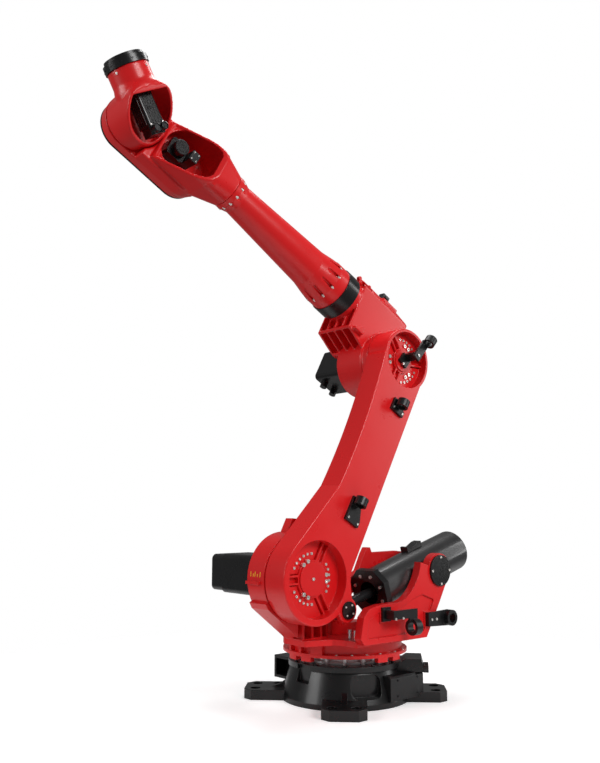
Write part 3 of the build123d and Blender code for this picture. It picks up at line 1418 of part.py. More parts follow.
tool_up = Vector(-tool_dir.Z, 0, tool_dir.X)
flat_tool = Plane(origin=wrist, x_dir=tool_dir, z_dir=tool_up)
with BuildPart() as tilt_housing:
    with BuildSketch(side_plane(wrist, drum_near, tool_dir)):
        Circle(wrist_radius)
    extrude(amount=drum_near - wrist_side)
    near_edges = tilt_housing.edges().filter_by(GeomType.CIRCLE).sort_by(Axis.Y)[-1]
    fillet(near_edges, drum_round)
    with BuildSketch(side_plane(wrist, 0, tool_dir)):
        with BuildLine():
            Polyline(
                (0, 0),
                (0, neck_root_radius),
                (neck_root, neck_root_radius - edge_round),
                (neck_root + wrist_radius / 4, neck_radius),
                (neck_end, neck_radius),
                (neck_end, 0),
                close=True,
            )
        make_face()
    revolve(axis=Axis(wrist, tool_dir))
    with BuildSketch(flat_tool):
        with BuildLine():
            Polyline(
                (drum_slant_front, drum_near + edge_round),
                (-wrist_radius - overrun, drum_near - drum_slant_fall),
                (-wrist_radius - overrun, drum_near + wrist_radius),
                (drum_slant_front, drum_near + wrist_radius),
                close=True,
            )
        make_face()
    extrude(amount=2 * wrist_radius, both=True, mode=Mode.SUBTRACT)
    with BuildSketch(side_plane(wrist, drum_near - cavity_wall, tool_dir)):
        Circle(wrist_radius - cavity_wall)
    extrude(amount=drum_near - wrist_side - 2 * cavity_wall, mode=Mode.SUBTRACT)
    with BuildSketch(along_plane(wrist, tool_dir, tool_motor_start)):
        Circle(tool_motor_seat_radius)
    extrude(amount=2 * cavity_wall)
    with BuildSketch(side_plane(wrist, wrist_side, tool_dir)):
        Circle(tilt_seat_radius)
    extrude(amount=swing_gap - seat_gap)
tilt_housing.part.label = "tilt_housing"
export_step(tilt_housing.part, "parts/tilt_housing.step")

with BuildPart() as tool_motor:
    with BuildSketch(along_plane(wrist, tool_dir, tool_motor_start)):
        RectangleRounded(tool_motor_width, tool_motor_width, tool_motor_round)
    extrude(amount=-tool_motor_start - tool_motor_rear)
    with BuildSketch(along_plane(wrist, tool_dir, -tool_motor_rear)):
        RectangleRounded(tool_motor_cap_width, tool_motor_cap_width, tool_motor_round)
    extrude(amount=-tool_motor_cap)
tool_motor.part.label = "tool_motor"
export_step(tool_motor.part, "parts/tool_motor.step")

with BuildPart() as tool_reducer:
    with BuildSketch(along_plane(wrist, tool_dir, neck_end)):
        Circle(tool_ring_radius)
    extrude(amount=tool_ring_length)
    with BuildSketch(along_plane(wrist, tool_dir, neck_end + tool_ring_length)):
        Circle(tool_lip_radius)
    extrude(amount=tool_lip_length)
tool_reducer.part.label = "tool_reducer"
export_step(tool_reducer.part, "parts/tool_reducer.step")

# Tool flange: centring pilot and six threaded holes on one circle.
tool_start = neck_end + tool_ring_length + tool_lip_length + seat_gap
pilot_radius = 50.0
pilot_depth = 8.0
tool_bolt_reach = 80.0
tool_bolt_count = 6
tool_bolt_radius = 6.0
tool_bolt_depth = 11.0
with BuildPart() as tool_flange:
    with BuildSketch(along_plane(wrist, tool_dir, tool_start)):
        Circle(tool_flange_radius)
    extrude(amount=tool_flange_length)
    with BuildSketch(along_plane(wrist, tool_dir, tool_start + tool_flange_length)):
        Circle(pilot_radius)
    extrude(amount=-pilot_depth, mode=Mode.SUBTRACT)
    with BuildSketch(along_plane(wrist, tool_dir, tool_start + tool_flange_length)):
        with PolarLocations(tool_bolt_reach, tool_bolt_count):
            Circle(tool_bolt_radius)
    extrude(amount=-tool_bolt_depth, mode=Mode.SUBTRACT)
tool_flange.part.label = "tool_flange"
export_step(tool_flange.part, "parts/tool_flange.step")
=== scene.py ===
import math

import bmesh
import bpy
from mathutils import Matrix, Vector
from mathutils.bvhtree import BVHTree


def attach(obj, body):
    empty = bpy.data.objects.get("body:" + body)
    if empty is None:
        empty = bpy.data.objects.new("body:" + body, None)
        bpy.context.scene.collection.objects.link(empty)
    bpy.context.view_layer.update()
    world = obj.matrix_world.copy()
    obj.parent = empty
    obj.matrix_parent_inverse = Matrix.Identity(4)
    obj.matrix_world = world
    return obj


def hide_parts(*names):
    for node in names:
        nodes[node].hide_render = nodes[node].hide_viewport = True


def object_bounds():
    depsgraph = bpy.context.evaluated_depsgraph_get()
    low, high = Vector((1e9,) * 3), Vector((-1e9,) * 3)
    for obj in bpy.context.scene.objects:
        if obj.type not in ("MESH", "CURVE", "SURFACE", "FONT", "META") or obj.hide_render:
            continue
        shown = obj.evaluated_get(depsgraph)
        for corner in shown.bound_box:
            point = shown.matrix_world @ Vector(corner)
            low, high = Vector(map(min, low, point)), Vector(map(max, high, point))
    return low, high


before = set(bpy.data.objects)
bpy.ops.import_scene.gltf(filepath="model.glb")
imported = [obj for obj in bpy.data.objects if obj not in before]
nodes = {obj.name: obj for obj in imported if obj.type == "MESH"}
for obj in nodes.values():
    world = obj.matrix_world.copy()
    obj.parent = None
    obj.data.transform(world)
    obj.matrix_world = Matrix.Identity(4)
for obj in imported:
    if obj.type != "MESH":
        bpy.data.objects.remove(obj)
cad_low, cad_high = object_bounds()
cad_low, cad_high = list(cad_low), list(cad_high)

# Camera: low beside the front left foot, looking up along the arm.
# The lens is a short portrait one, so the base and the raised wrist are both in view.
camera_data = bpy.data.cameras.new("camera")
camera_data.sensor_width = 36.0
camera_data.lens = 38.72
camera_data.clip_end = 200.0
camera = bpy.data.objects.new("camera", camera_data)
camera.location = (3.015, 3.076, 0.935)
camera_turn = math.radians(41.421)
camera_rise = math.radians(8.735)
camera_look = Vector((
    -math.sin(camera_turn) * math.cos(camera_rise),
    -math.cos(camera_turn) * math.cos(camera_rise),
    math.sin(camera_rise),
))
camera.rotation_euler = camera_look.to_track_quat("-Z", "Y").to_euler()
bpy.context.collection.objects.link(camera)
bpy.context.scene.camera = camera
bpy.context.scene.view_settings.view_transform = "Standard"

# Studio: white surroundings, three large soft boxes and a strip light.
# They stand well away from the arm, so paint and steel mirror broad bright shapes.
world = bpy.data.worlds.new("studio")
bpy.context.scene.world = world
world.use_nodes = True
sky = world.node_tree
sky.nodes.clear()
sky_out = sky.nodes.new("ShaderNodeOutputWorld")
sky_mix = sky.nodes.new("ShaderNodeMixShader")
sky_light = sky.nodes.new("ShaderNodeBackground")
sky_light.inputs["Color"].default_value = (1.0, 1.0, 1.0, 1.0)
sky_light.inputs["Strength"].default_value = 0.17
sky_white = sky.nodes.new("ShaderNodeBackground")
sky_white.inputs["Color"].default_value = (1.0, 1.0, 1.0, 1.0)
sky_white.inputs["Strength"].default_value = 1.0
sky_path = sky.nodes.new("ShaderNodeLightPath")
sky_seen = sky.nodes.new("ShaderNodeMath")
sky_seen.operation = "MAXIMUM"
sky.links.new(sky_path.outputs["Is Camera Ray"], sky_seen.inputs[0])
sky.links.new(sky_path.outputs["Is Transmission Ray"], sky_seen.inputs[1])
sky.links.new(sky_seen.outputs["Value"], sky_mix.inputs["Fac"])
sky.links.new(sky_light.outputs["Background"], sky_mix.inputs[1])
sky.links.new(sky_white.outputs["Background"], sky_mix.inputs[2])
sky.links.new(sky_mix.outputs["Shader"], sky_out.inputs["Surface"])

for box_name, box_place, box_aim, box_size, box_power in (
    ("key_box", (0.2, 6.0, 4.2), (0.2, 0.0, 1.2), (3.2, 2.6), 265.0),
    ("left_box", (6.0, -1.8, 3.4), (0.3, 0.0, 1.2), (2.6, 3.6), 150.0),
    ("top_box", (-1.0, -1.0, 6.6), (0.1, 0.0, 1.2), (3.6, 2.8), 190.0),
    ("rear_strip", (-4.8, 3.4, 2.6), (-0.1, 0.0, 1.0), (1.0, 4.2), 70.0),
):
    box_data = bpy.data.lights.new(box_name, "AREA")
    box_data.shape = "RECTANGLE"
    box_data.size, box_data.size_y = box_size
    box_data.energy = box_power
    box = bpy.data.objects.new(box_name, box_data)
    box.location = box_place
    box.rotation_euler = (Vector(box_aim) - Vector(box_place)).to_track_quat("-Z", "Y").to_euler()
    bpy.context.collection.objects.link(box)

# Floor: smooth pale studio floor that takes the soft shadow of the base and fades out into the white.
# It is a plain disc of matt vinyl under the feet.
floor_reach = 4.5
floor_glow_share = 0.35
fade_start = 0.9
fade_end = 2.6
floor_mesh = bpy.data.meshes.new("studio_floor")
floor_form = bmesh.new()
bmesh.ops.create_circle(floor_form, cap_ends=True, segments=96, radius=floor_reach)
floor_form.to_mesh(floor_mesh)
floor_form.free()
floor = bpy.data.objects.new("studio_floor", floor_mesh)
bpy.context.collection.objects.link(floor)
floor_vinyl = bpy.data.materials.new("floor_vinyl")
floor_vinyl.use_nodes = True
floor_tree = floor_vinyl.node_tree
floor_shader = floor_tree.nodes["Principled BSDF"]
floor_shader.inputs["Base Color"].default_value = (0.93, 0.93, 0.93, 1.0)
floor_shader.inputs["Roughness"].default_value = 0.8
floor_shader.inputs["Specular IOR Level"].default_value = 0.15
floor_shader.inputs["Emission Color"].default_value = (1.0, 1.0, 1.0, 1.0)
floor_path = floor_tree.nodes.new("ShaderNodeLightPath")
floor_glow = floor_tree.nodes.new("ShaderNodeMath")
floor_glow.operation = "MULTIPLY"
floor_glow.inputs[1].default_value = floor_glow_share
floor_tree.links.new(floor_path.outputs["Is Camera Ray"], floor_glow.inputs[0])
floor_tree.links.new(floor_glow.outputs["Value"], floor_shader.inputs["Emission Strength"])
floor_place = floor_tree.nodes.new("ShaderNodeTexCoord")
floor_distance = floor_tree.nodes.new("ShaderNodeVectorMath")
floor_distance.operation = "LENGTH"
floor_fade = floor_tree.nodes.new("ShaderNodeMapRange")
floor_fade.interpolation_type = "SMOOTHSTEP"
floor_fade.inputs["From Min"].default_value = fade_start
floor_fade.inputs["From Max"].default_value = fade_end
floor_fade.inputs["To Min"].default_value = 1.0
floor_fade.inputs["To Max"].default_value = 0.0
floor_tree.links.new(floor_place.outputs["Object"], floor_distance.inputs[0])
floor_tree.links.new(floor_distance.outputs["Value"], floor_fade.inputs["Value"])
floor_tree.links.new(floor_fade.outputs["Result"], floor_shader.inputs["Alpha"])
floor_mesh.materials.append(floor_vinyl)

# Base casting: grey iron drum and feet under satin black paint.
# The paint shows the casting's faint grain and rounds its edges.


def cast_surface_group():
    """Colour drift, grain and rounded edges that all painted castings of the arm share."""
    group = bpy.data.node_groups.new("cast_surface", "ShaderNodeTree")
    face = group.interface
    face.new_socket("Paint", in_out="INPUT", socket_type="NodeSocketColor")
    for label, value in (
        ("Drift", 0.1), ("Grain Size", 900.0), ("Grain Depth", 0.1),
        ("Gloss Low", 0.2), ("Gloss High", 0.3), ("Edge", 0.003),
    ):
        socket = face.new_socket(label, in_out="INPUT", socket_type="NodeSocketFloat")
        socket.default_value = value
    face.new_socket("Colour", in_out="OUTPUT", socket_type="NodeSocketColor")
    face.new_socket("Roughness", in_out="OUTPUT", socket_type="NodeSocketFloat")
    face.new_socket("Normal", in_out="OUTPUT", socket_type="NodeSocketVector")
    new, link = group.nodes.new, group.links.new
    inside, outside = new("NodeGroupInput"), new("NodeGroupOutput")
    place = new("ShaderNodeTexCoord")
    patches = new("ShaderNodeTexNoise")
    patches.inputs["Scale"].default_value = 5.0
    patches.inputs["Detail"].default_value = 3.0
    link(place.outputs["Object"], patches.inputs["Vector"])
    darker = new("ShaderNodeMix")
    darker.data_type = "RGBA"
    darker.blend_type = "MULTIPLY"
    darker_factor, darker_first, darker_second = darker.inputs[0], darker.inputs[6], darker.inputs[7]
    darker_colour = darker.outputs[2]
    darker_second.default_value = (0.72, 0.62, 0.62, 1.0)
    amount = new("ShaderNodeMath")
    amount.operation = "MULTIPLY"
    link(patches.outputs["Fac"], amount.inputs[0])
    link(inside.outputs["Drift"], amount.inputs[1])
    link(amount.outputs["Value"], darker_factor)
    link(inside.outputs["Paint"], darker_first)
    link(darker_colour, outside.inputs["Colour"])
    smudges = new("ShaderNodeTexNoise")
    smudges.inputs["Scale"].default_value = 11.0
    smudges.inputs["Detail"].default_value = 5.0
    link(place.outputs["Object"], smudges.inputs["Vector"])
    gloss = new("ShaderNodeMapRange")
    link(smudges.outputs["Fac"], gloss.inputs["Value"])
    gloss.inputs["From Min"].default_value = 0.3
    gloss.inputs["From Max"].default_value = 0.7
    link(inside.outputs["Gloss Low"], gloss.inputs["To Min"])
    link(inside.outputs["Gloss High"], gloss.inputs["To Max"])
    link(gloss.outputs["Result"], outside.inputs["Roughness"])
    grain = new("ShaderNodeTexNoise")
    grain.inputs["Detail"].default_value = 2.0
    link(place.outputs["Object"], grain.inputs["Vector"])
    link(inside.outputs["Grain Size"], grain.inputs["Scale"])
    rounded = new("ShaderNodeBevel")
    rounded.samples = 4
    link(inside.outputs["Edge"], rounded.inputs["Radius"])
    peel = new("ShaderNodeBump")
    peel.inputs["Distance"].default_value = 0.0006
    link(inside.outputs["Grain Depth"], peel.inputs["Strength"])
    link(grain.outputs["Fac"], peel.inputs["Height"])
    link(rounded.outputs["Normal"], peel.inputs["Normal"])
    link(peel.outputs["Normal"], outside.inputs["Normal"])
    return group


cast_surface = cast_surface_group()


def cast_material(name, paint, drift, grain, depth, gloss, edge, coat, metal=0.0, ior_level=0.5):
    """A finish of the arm on the shared cast surface, with its own colour, grain and gloss."""
    coat_roughness = 0.12
    material = bpy.data.materials.new(name)
    material.use_nodes = True
    tree = material.node_tree
    shader = tree.nodes["Principled BSDF"]
    surface = tree.nodes.new("ShaderNodeGroup")
    surface.node_tree = cast_surface
    surface.inputs["Paint"].default_value = (*paint, 1.0)
    surface.inputs["Drift"].default_value = drift
    surface.inputs["Grain Size"].default_value = grain
    surface.inputs["Grain Depth"].default_value = depth
    surface.inputs["Gloss Low"].default_value = gloss[0]
    surface.inputs["Gloss High"].default_value = gloss[1]
    surface.inputs["Edge"].default_value = edge
    shader.inputs["Metallic"].default_value = metal
    shader.inputs["Specular IOR Level"].default_value = ior_level
    shader.inputs["Coat Weight"].default_value = coat
    shader.inputs["Coat Roughness"].default_value = coat_roughness
    tree.links.new(surface.outputs["Colour"], shader.inputs["Base Color"])
    tree.links.new(surface.outputs["Roughness"], shader.inputs["Roughness"])
    tree.links.new(surface.outputs["Normal"], shader.inputs["Normal"])
    material.diffuse_color = (*paint, 1.0)
    return material


def dress(material, name):
    """Puts a finish on a CAD node through its material slots alone."""
    for slot in nodes[name].material_slots:
        slot.material = material


def search_tree(name):
    """Search tree over one CAD node's faces, made once and kept."""
    if name not in search_trees:
        mesh = nodes[name].data
        search_trees[name] = BVHTree.FromPolygons(
            [vertex.co for vertex in mesh.vertices], [polygon.vertices for polygon in mesh.polygons]
        )
    return search_trees[name]


def landing(names, start, heading):
    """First point on the named nodes met from start along heading, and the way the surface faces there."""
    heading = Vector(heading).normalized()
    hits = [search_tree(name).ray_cast(Vector(start), heading) for name in names]
    spot, facing, _, _ = min((hit for hit in hits if hit[0] is not None), key=lambda hit: hit[3])
    return spot, facing if facing.dot(heading) < 0 else -facing


def seat(names, start, heading, head):
    """A screw spot where a line from start along heading meets the named nodes; its head faces back."""
    return landing(names, start, heading)[0], Vector() - Vector(heading), head


def screw_tree():
    """Socket-head screws set on points; the attributes facing and head turn and size each one.

    A head is a cylinder with its middle on the point, so its lower half is in the piece below it.
    """
    tree = bpy.data.node_groups.new("socket_screws", "GeometryNodeTree")
    face = tree.interface
    face.new_socket("Points", in_out="INPUT", socket_type="NodeSocketGeometry")
    for label, kind, value in (
        ("Recess Share", "NodeSocketFloat", recess_share),
        ("Height Share", "NodeSocketFloat", 0.7),
        ("Seed", "NodeSocketInt", spin_seed),
    ):
        face.new_socket(label, in_out="INPUT", socket_type=kind).default_value = value
    face.new_socket("Finish", in_out="INPUT", socket_type="NodeSocketMaterial")
    face.new_socket("Screws", in_out="OUTPUT", socket_type="NodeSocketGeometry")
    new, link = tree.nodes.new, tree.links.new
    inside, outside = new("NodeGroupInput"), new("NodeGroupOutput")
    depth = new("ShaderNodeMath")
    depth.operation = "ADD"
    link(inside.outputs["Height Share"], depth.inputs[0])
    link(inside.outputs["Height Share"], depth.inputs[1])
    head = new("GeometryNodeMeshCylinder")
    head.inputs["Vertices"].default_value = 20
    head.inputs["Radius"].default_value = 1.0
    link(depth.outputs[0], head.inputs["Depth"])
    socket = new("GeometryNodeMeshCylinder")
    socket.inputs["Vertices"].default_value = 6
    socket.inputs["Depth"].default_value = 0.9
    link(inside.outputs["Recess Share"], socket.inputs["Radius"])
    raised = new("ShaderNodeCombineXYZ")
    link(inside.outputs["Height Share"], raised.inputs["Z"])
    lifted = new("GeometryNodeTransform")
    link(socket.outputs["Mesh"], lifted.inputs["Geometry"])
    link(raised.outputs["Vector"], lifted.inputs["Translation"])
    hollow = new("GeometryNodeMeshBoolean")
    hollow.operation = "DIFFERENCE"
    link(head.outputs["Mesh"], hollow.inputs["Mesh 1"])
    link(lifted.outputs["Geometry"], hollow.inputs["Mesh 2"])
    facing = new("GeometryNodeInputNamedAttribute")
    facing.data_type = "FLOAT_VECTOR"
    facing.inputs["Name"].default_value = "facing"
    size = new("GeometryNodeInputNamedAttribute")
    size.data_type = "FLOAT"
    size.inputs["Name"].default_value = "head"
    upright = new("FunctionNodeAlignRotationToVector")
    upright.axis = "Z"
    link(facing.outputs["Attribute"], upright.inputs["Vector"])
    chance = new("FunctionNodeRandomValue")
    chance.data_type = "FLOAT"
    chance.inputs["Max"].default_value = 1.05
    link(inside.outputs["Seed"], chance.inputs["Seed"])
    spin = new("FunctionNodeAxisAngleToRotation")
    spin.inputs["Axis"].default_value = (0.0, 0.0, 1.0)
    chosen = [output for output in chance.outputs if output.enabled and output.type == "VALUE"]
    link(chosen[0], spin.inputs["Angle"])
    turned_up = new("FunctionNodeRotateRotation")
    turned_up.rotation_space = "LOCAL"
    link(upright.outputs["Rotation"], turned_up.inputs["Rotation"])
    link(spin.outputs["Rotation"], turned_up.inputs["Rotate By"])
    place = new("GeometryNodeInstanceOnPoints")
    link(inside.outputs["Points"], place.inputs["Points"])
    link(hollow.outputs["Mesh"], place.inputs["Instance"])
    link(turned_up.outputs["Rotation"], place.inputs["Rotation"])
    link(size.outputs["Attribute"], place.inputs["Scale"])
    real = new("GeometryNodeRealizeInstances")
    link(place.outputs["Instances"], real.inputs["Geometry"])
    finish = new("GeometryNodeSetMaterial")
    link(real.outputs["Geometry"], finish.inputs["Geometry"])
    link(inside.outputs["Finish"], finish.inputs["Material"])
    link(finish.outputs["Geometry"], outside.inputs["Screws"])
    return tree


search_trees = {}
recess_share = 0.52
spin_seed = 3
socket_screws = screw_tree()


def screws(name, body, spots, finish, height=0.7):
    """One mesh of socket screws; every spot is a point, the way its head faces and the head's radius."""
    points = bpy.data.meshes.new(name)
    points.from_pydata([tuple(spot[0]) for spot in spots], [], [])
    facing = points.attributes.new("facing", "FLOAT_VECTOR", "POINT")
    facing.data.foreach_set("vector", [value for spot in spots for value in spot[1]])
    head = points.attributes.new("head", "FLOAT", "POINT")
    head.data.foreach_set("value", [spot[2] for spot in spots])
    holder = bpy.data.objects.new(name, points)
    bpy.context.collection.objects.link(holder)
    builder = holder.modifiers.new("screws", "NODES")
    builder.node_group = socket_screws
    values = {"Height Share": height, "Recess Share": recess_share, "Seed": spin_seed, "Finish": finish}
    for item in socket_screws.interface.items_tree:
        if item.item_type == "SOCKET" and item.in_out == "INPUT" and item.name in values:
            builder[item.identifier] = values[item.name]
    made = bpy.data.meshes.new_from_object(holder.evaluated_get(bpy.context.evaluated_depsgraph_get()))
    holder.modifiers.clear()
    holder.data = made
    made.materials.clear()
    made.materials.append(finish)
    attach(holder, body)


black_iron = cast_material(
    "black_iron", paint=(0.0055, 0.0055, 0.006), drift=0.3, grain=500.0, depth=0.06,
    gloss=(0.26, 0.34), edge=0.005, coat=0.15, ior_level=0.4,
)
dress(black_iron, "base_casting")
dark_screw = cast_material(
    "dark_screw", paint=(0.03, 0.03, 0.032), drift=0.3, grain=400.0, depth=0.05,
    gloss=(0.24, 0.34), edge=0.0006, coat=0.0, metal=0.6,
)
downwards = (0.0, 0.0, -1.0)
rim_screw_count = 12
rim_screw_reach = 0.27
rim_screw_head = 0.008
above_rim = 0.6
rim_screws = []
for step in range(rim_screw_count):
    angle = math.radians((step + 0.5) * 360 / rim_screw_count)
    start = (rim_screw_reach * math.cos(angle), rim_screw_reach * math.sin(angle), above_rim)
    rim_screws.append(seat(["base_casting"], start, downwards, rim_screw_head))
screws("base_rim_screws", "base", rim_screws, dark_screw)

# Service box: pressed steel box screwed to the drum, with a hand hole towards the front.
# It is painted black and closed by a lid with a screw at each corner.
service_finish = cast_material(
    "service_finish", paint=(0.008, 0.008, 0.0085), drift=0.4, grain=900.0, depth=0.15,
    gloss=(0.28, 0.38), edge=0.003, coat=0.0, ior_level=0.4,
)
dress(service_finish, "service_box")
leftwards = (0.0, 1.0, 0.0)
right_of_all = -0.8
lid_screw_head = 0.005
service_screw_alongs = (-0.085, 0.085)
service_screw_heights = (0.068, 0.142)
screws("service_lid_screws", "base", [
    seat(["service_box"], (along, right_of_all, height), leftwards, lid_screw_head)
    for along in service_screw_alongs for height in service_screw_heights
], dark_screw)

# Connector box: cast plug housing on the left of the drum, painted with the base.
# Its lid is held by four small screws.
connector_finish = cast_material(
    "connector_finish", paint=(0.007, 0.007, 0.0075), drift=0.4, grain=900.0, depth=0.15,
    gloss=(0.26, 0.38), edge=0.003, coat=0.0, ior_level=0.4,
)
dress(connector_finish, "connector_box")
rightwards = (0.0, -1.0, 0.0)
left_of_all = 0.8
connector_screw_alongs = (-0.17, -0.03)
connector_screw_heights = (0.05, 0.122)
screws("connector_lid_screws", "base", [
    seat(["connector_box"], (along, left_of_all, height), rightwards, lid_screw_head)
    for along in connector_screw_alongs for height in connector_screw_heights
], dark_screw)

# Socket box: flat black box on the drum's rear left, cut from plate and welded.
# The cable sockets stand on its upper face.
socket_finish = cast_material(
    "socket_finish", paint=(0.007, 0.007, 0.0075), drift=0.4, grain=900.0, depth=0.15,
    gloss=(0.26, 0.36), edge=0.003, coat=0.0, ior_level=0.4,
)
dress(socket_finish, "socket_box")

# Cable sockets: three round glands of black plastic, screwed into the socket box.
# Their mouths are open, ready for the supply cables.
gland_plastic = cast_material(
    "gland_plastic", paint=(0.016, 0.016, 0.017), drift=0.2, grain=1300.0, depth=0.1,
    gloss=(0.3, 0.42), edge=0.0012, coat=0.0,
)
dress(gland_plastic, "cable_sockets")

# Slewing bearing: ground steel core on the base's rim, with a circle of steel pins.
# It shows bright through the windows of the turret's ring.
turned_steel = cast_material(
    "turned_steel", paint=(0.82, 0.82, 0.83), drift=0.12, grain=300.0, depth=0.04,
    gloss=(0.28, 0.38), edge=0.001, coat=0.0, metal=0.5,
)
dress(turned_steel, "slew_bearing")

# Turret casting: one iron casting of ring, deck and shoulder housing, under glossy red enamel.
# The paint lies thick, so machined edges are slightly rounded and the cast faces have a faint peel.


def enamel(name, red, edge):
    """The red enamel of the arm's castings; edge is how far a casting's edges are rounded."""
    return cast_material(
        name, paint=(red, 0.0105, 0.0125), drift=0.07, grain=260.0, depth=0.03,
        gloss=(0.27, 0.33), edge=edge, coat=0.1, ior_level=0.4,
    )


dress(enamel("red_enamel", red=0.72, edge=0.004), "turret_casting")
zinc_screw = cast_material(
    "zinc_screw", paint=(0.86, 0.84, 0.8), drift=0.15, grain=400.0, depth=0.03,
    gloss=(0.24, 0.34), edge=0.0006, coat=0.0, metal=0.75,
)
ring_screw_reach = 0.297
ring_screw_head = 0.006
ring_screw_turns = (24, 38, 52, 66, 80, 100, 118)
under_housing = 0.29
ring_screws = []
for degrees in ring_screw_turns:
    angle = math.radians(degrees)
    start = (ring_screw_reach * math.cos(angle), ring_screw_reach * math.sin(angle), under_housing)
    ring_screws.append(seat(["turret_casting"], start, downwards, ring_screw_head))
screws("ring_screws", "turret", ring_screws, zinc_screw)
index_yellow = cast_material(
    "index_yellow", paint=(0.95, 0.5, 0.01), drift=0.1, grain=900.0, depth=0.05,
    gloss=(0.4, 0.5), edge=0.0003, coat=0.0,
)
shoulder = (0.453, 0.615)
long_stroke, short_stroke = 0.024, 0.015
stroke_half_width = 0.0022
stroke_lift = 0.0005
stroke_foot_angle = math.radians(3.2)
housing_radius = 0.22
outside_housing = 0.6
mark_form = bmesh.new()
for stroke_side, stroke in (
    (0.07, long_stroke), (0.088, short_stroke), (0.1, long_stroke), (0.118, short_stroke),
    (0.136, long_stroke),
):
    corners = []
    for share, across in ((0.0, -1), (0.0, 1), (1.0, 1), (1.0, -1)):
        angle = stroke_foot_angle + share * stroke / housing_radius
        outwards = Vector((math.cos(angle), 0.0, math.sin(angle)))
        start = Vector((shoulder[0], stroke_side + across * stroke_half_width, shoulder[1]))
        spot, facing = landing(["turret_casting"], start + outwards * outside_housing, -outwards)
        corners.append(mark_form.verts.new(spot + facing * stroke_lift))
    mark_form.faces.new(corners)
bmesh.ops.recalc_face_normals(mark_form, faces=mark_form.faces)
mark_mesh = bpy.data.meshes.new("index_marks")
mark_form.to_mesh(mark_mesh)
mark_form.free()
mark_mesh.materials.append(index_yellow)
index_marks = bpy.data.objects.new("index_marks", mark_mesh)
bpy.context.collection.objects.link(index_marks)
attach(index_marks, "turret")

# Shoulder motor: servo motor with a square anodised body, on a flange behind the housing.
# A screw sits in each corner of its end.


def anodised(name):
    """The black anodised finish of the three large motors."""
    return cast_material(
        name, paint=(0.006, 0.006, 0.0065), drift=0.3, grain=1400.0, depth=0.08,
        gloss=(0.24, 0.33), edge=0.0025, coat=0.08, ior_level=0.42,
    )


dress(anodised("motor_black"), "shoulder_motor")
motor_screw_off = 0.074
motor_screw_head = 0.0065
screws("shoulder_motor_screws", "turret", [
    seat(
        ["shoulder_motor"], (shoulder[0] + along, right_of_all, shoulder[1] + up),
        leftwards, motor_screw_head,
    )
    for along in (-motor_screw_off, motor_screw_off) for up in (-motor_screw_off, motor_screw_off)
], dark_screw)

# Slewing motor: upright servo motor at the deck's right rear, with a screw near each corner of its top.
# It has the same anodised finish as the shoulder motor.
dress(anodised("slew_finish"), "slew_motor")
slew_motor_place = (-0.06, -0.19)
above_slew_motor = 1.0
slew_screw_off = 0.062
slew_screw_head = 0.0055
screws("slew_motor_screws", "turret", [
    seat(
        ["slew_motor"], (slew_motor_place[0] + along, slew_motor_place[1] + across, above_slew_motor),
        downwards, slew_screw_head,
    )
    for along in (-slew_screw_off, slew_screw_off) for across in (-slew_screw_off, slew_screw_off)
], dark_screw)

# Near bracket: red cast side plate that carries the left trunnion of the balancer.
# It stands on the deck, and its window saves weight.
dress(enamel("bracket_red", red=0.72, edge=0.004), "near_bracket")

# Far bracket: red cast side plate on the deck's middle, for the right trunnion.
# Its triangular arms stand up like a steep roof.
dress(enamel("far_red", red=0.72, edge=0.004), "far_bracket")

# Near trunnion: black turned steel cap and journal, bolted to the bracket with four screws.
# The balancer swings on the journal.


def on_face(names, joint, reach, degrees, head):
    """A screw spot on a left face, at a reach and an angle about a joint given as (x, z)."""
    angle = math.radians(degrees)
    start = (joint[0] + reach * math.cos(angle), left_of_all, joint[1] + reach * math.sin(angle))
    return seat(names, start, rightwards, head)


def journal_finish(name):
    """The blackened finish of the two trunnions."""
    return cast_material(
        name, paint=(0.008, 0.008, 0.0085), drift=0.3, grain=1200.0, depth=0.08,
        gloss=(0.24, 0.34), edge=0.002, coat=0.05, metal=0.3,
    )


dress(journal_finish("journal_black"), "near_trunnion")
trunnion = (-0.283, 0.625)
near_screw_reach = 0.065
trunnion_screw_head = 0.0062
screws("near_trunnion_screws", "turret", [
    on_face(["near_trunnion", "near_bracket"], trunnion, near_screw_reach, degrees, trunnion_screw_head)
    for degrees in (0, 90, 180, 270)
], zinc_screw)

# Far trunnion: the same cap and journal on the right bracket.
# Its four screws face the robot's right side.
dress(journal_finish("far_journal"), "far_trunnion")
far_screw_reach = 0.058
right_of_trunnion = -0.02
far_spots = []
for degrees in (0, 90, 180, 270):
    angle = math.radians(degrees)
    start = (
        trunnion[0] + far_screw_reach * math.cos(angle), right_of_trunnion,
        trunnion[1] + far_screw_reach * math.sin(angle),
    )
    far_spots.append(seat(["far_trunnion"], start, leftwards, trunnion_screw_head))
screws("far_trunnion_screws", "turret", far_spots, zinc_screw)

# Stop pins: two hardened steel pins that stand on the deck behind the shoulder housing.
# They are ground bright and stay unpainted.
pin_steel = cast_material(
    "pin_steel", paint=(0.8, 0.8, 0.81), drift=0.12, grain=300.0, depth=0.03,
    gloss=(0.18, 0.26), edge=0.0008, coat=0.0, metal=0.8,
)
dress(pin_steel, "stop_pins")

# Front cable clamp: bent black steel bracket that hangs a ring for the cables to the motors.
# It is screwed to the near bracket and lacquered.


def lacquer(name):
    """The black lacquer of the cable clamps, clips and strap."""
    return cast_material(
        name, paint=(0.007, 0.007, 0.0075), drift=0.35, grain=1300.0, depth=0.12,
        gloss=(0.3, 0.42), edge=0.0018, coat=0.0, ior_level=0.42,
    )


dress(lacquer("clamp_black"), "front_cable_clamp")
front_screw_head = 0.0055
front_screw_height = 0.43
front_screw_alongs = (0.07, 0.12)
screws("front_clamp_screws", "turret", [
    seat(["front_cable_clamp"], (along, left_of_all, front_screw_height), rightwards, front_screw_head)
    for along in front_screw_alongs
], zinc_screw)

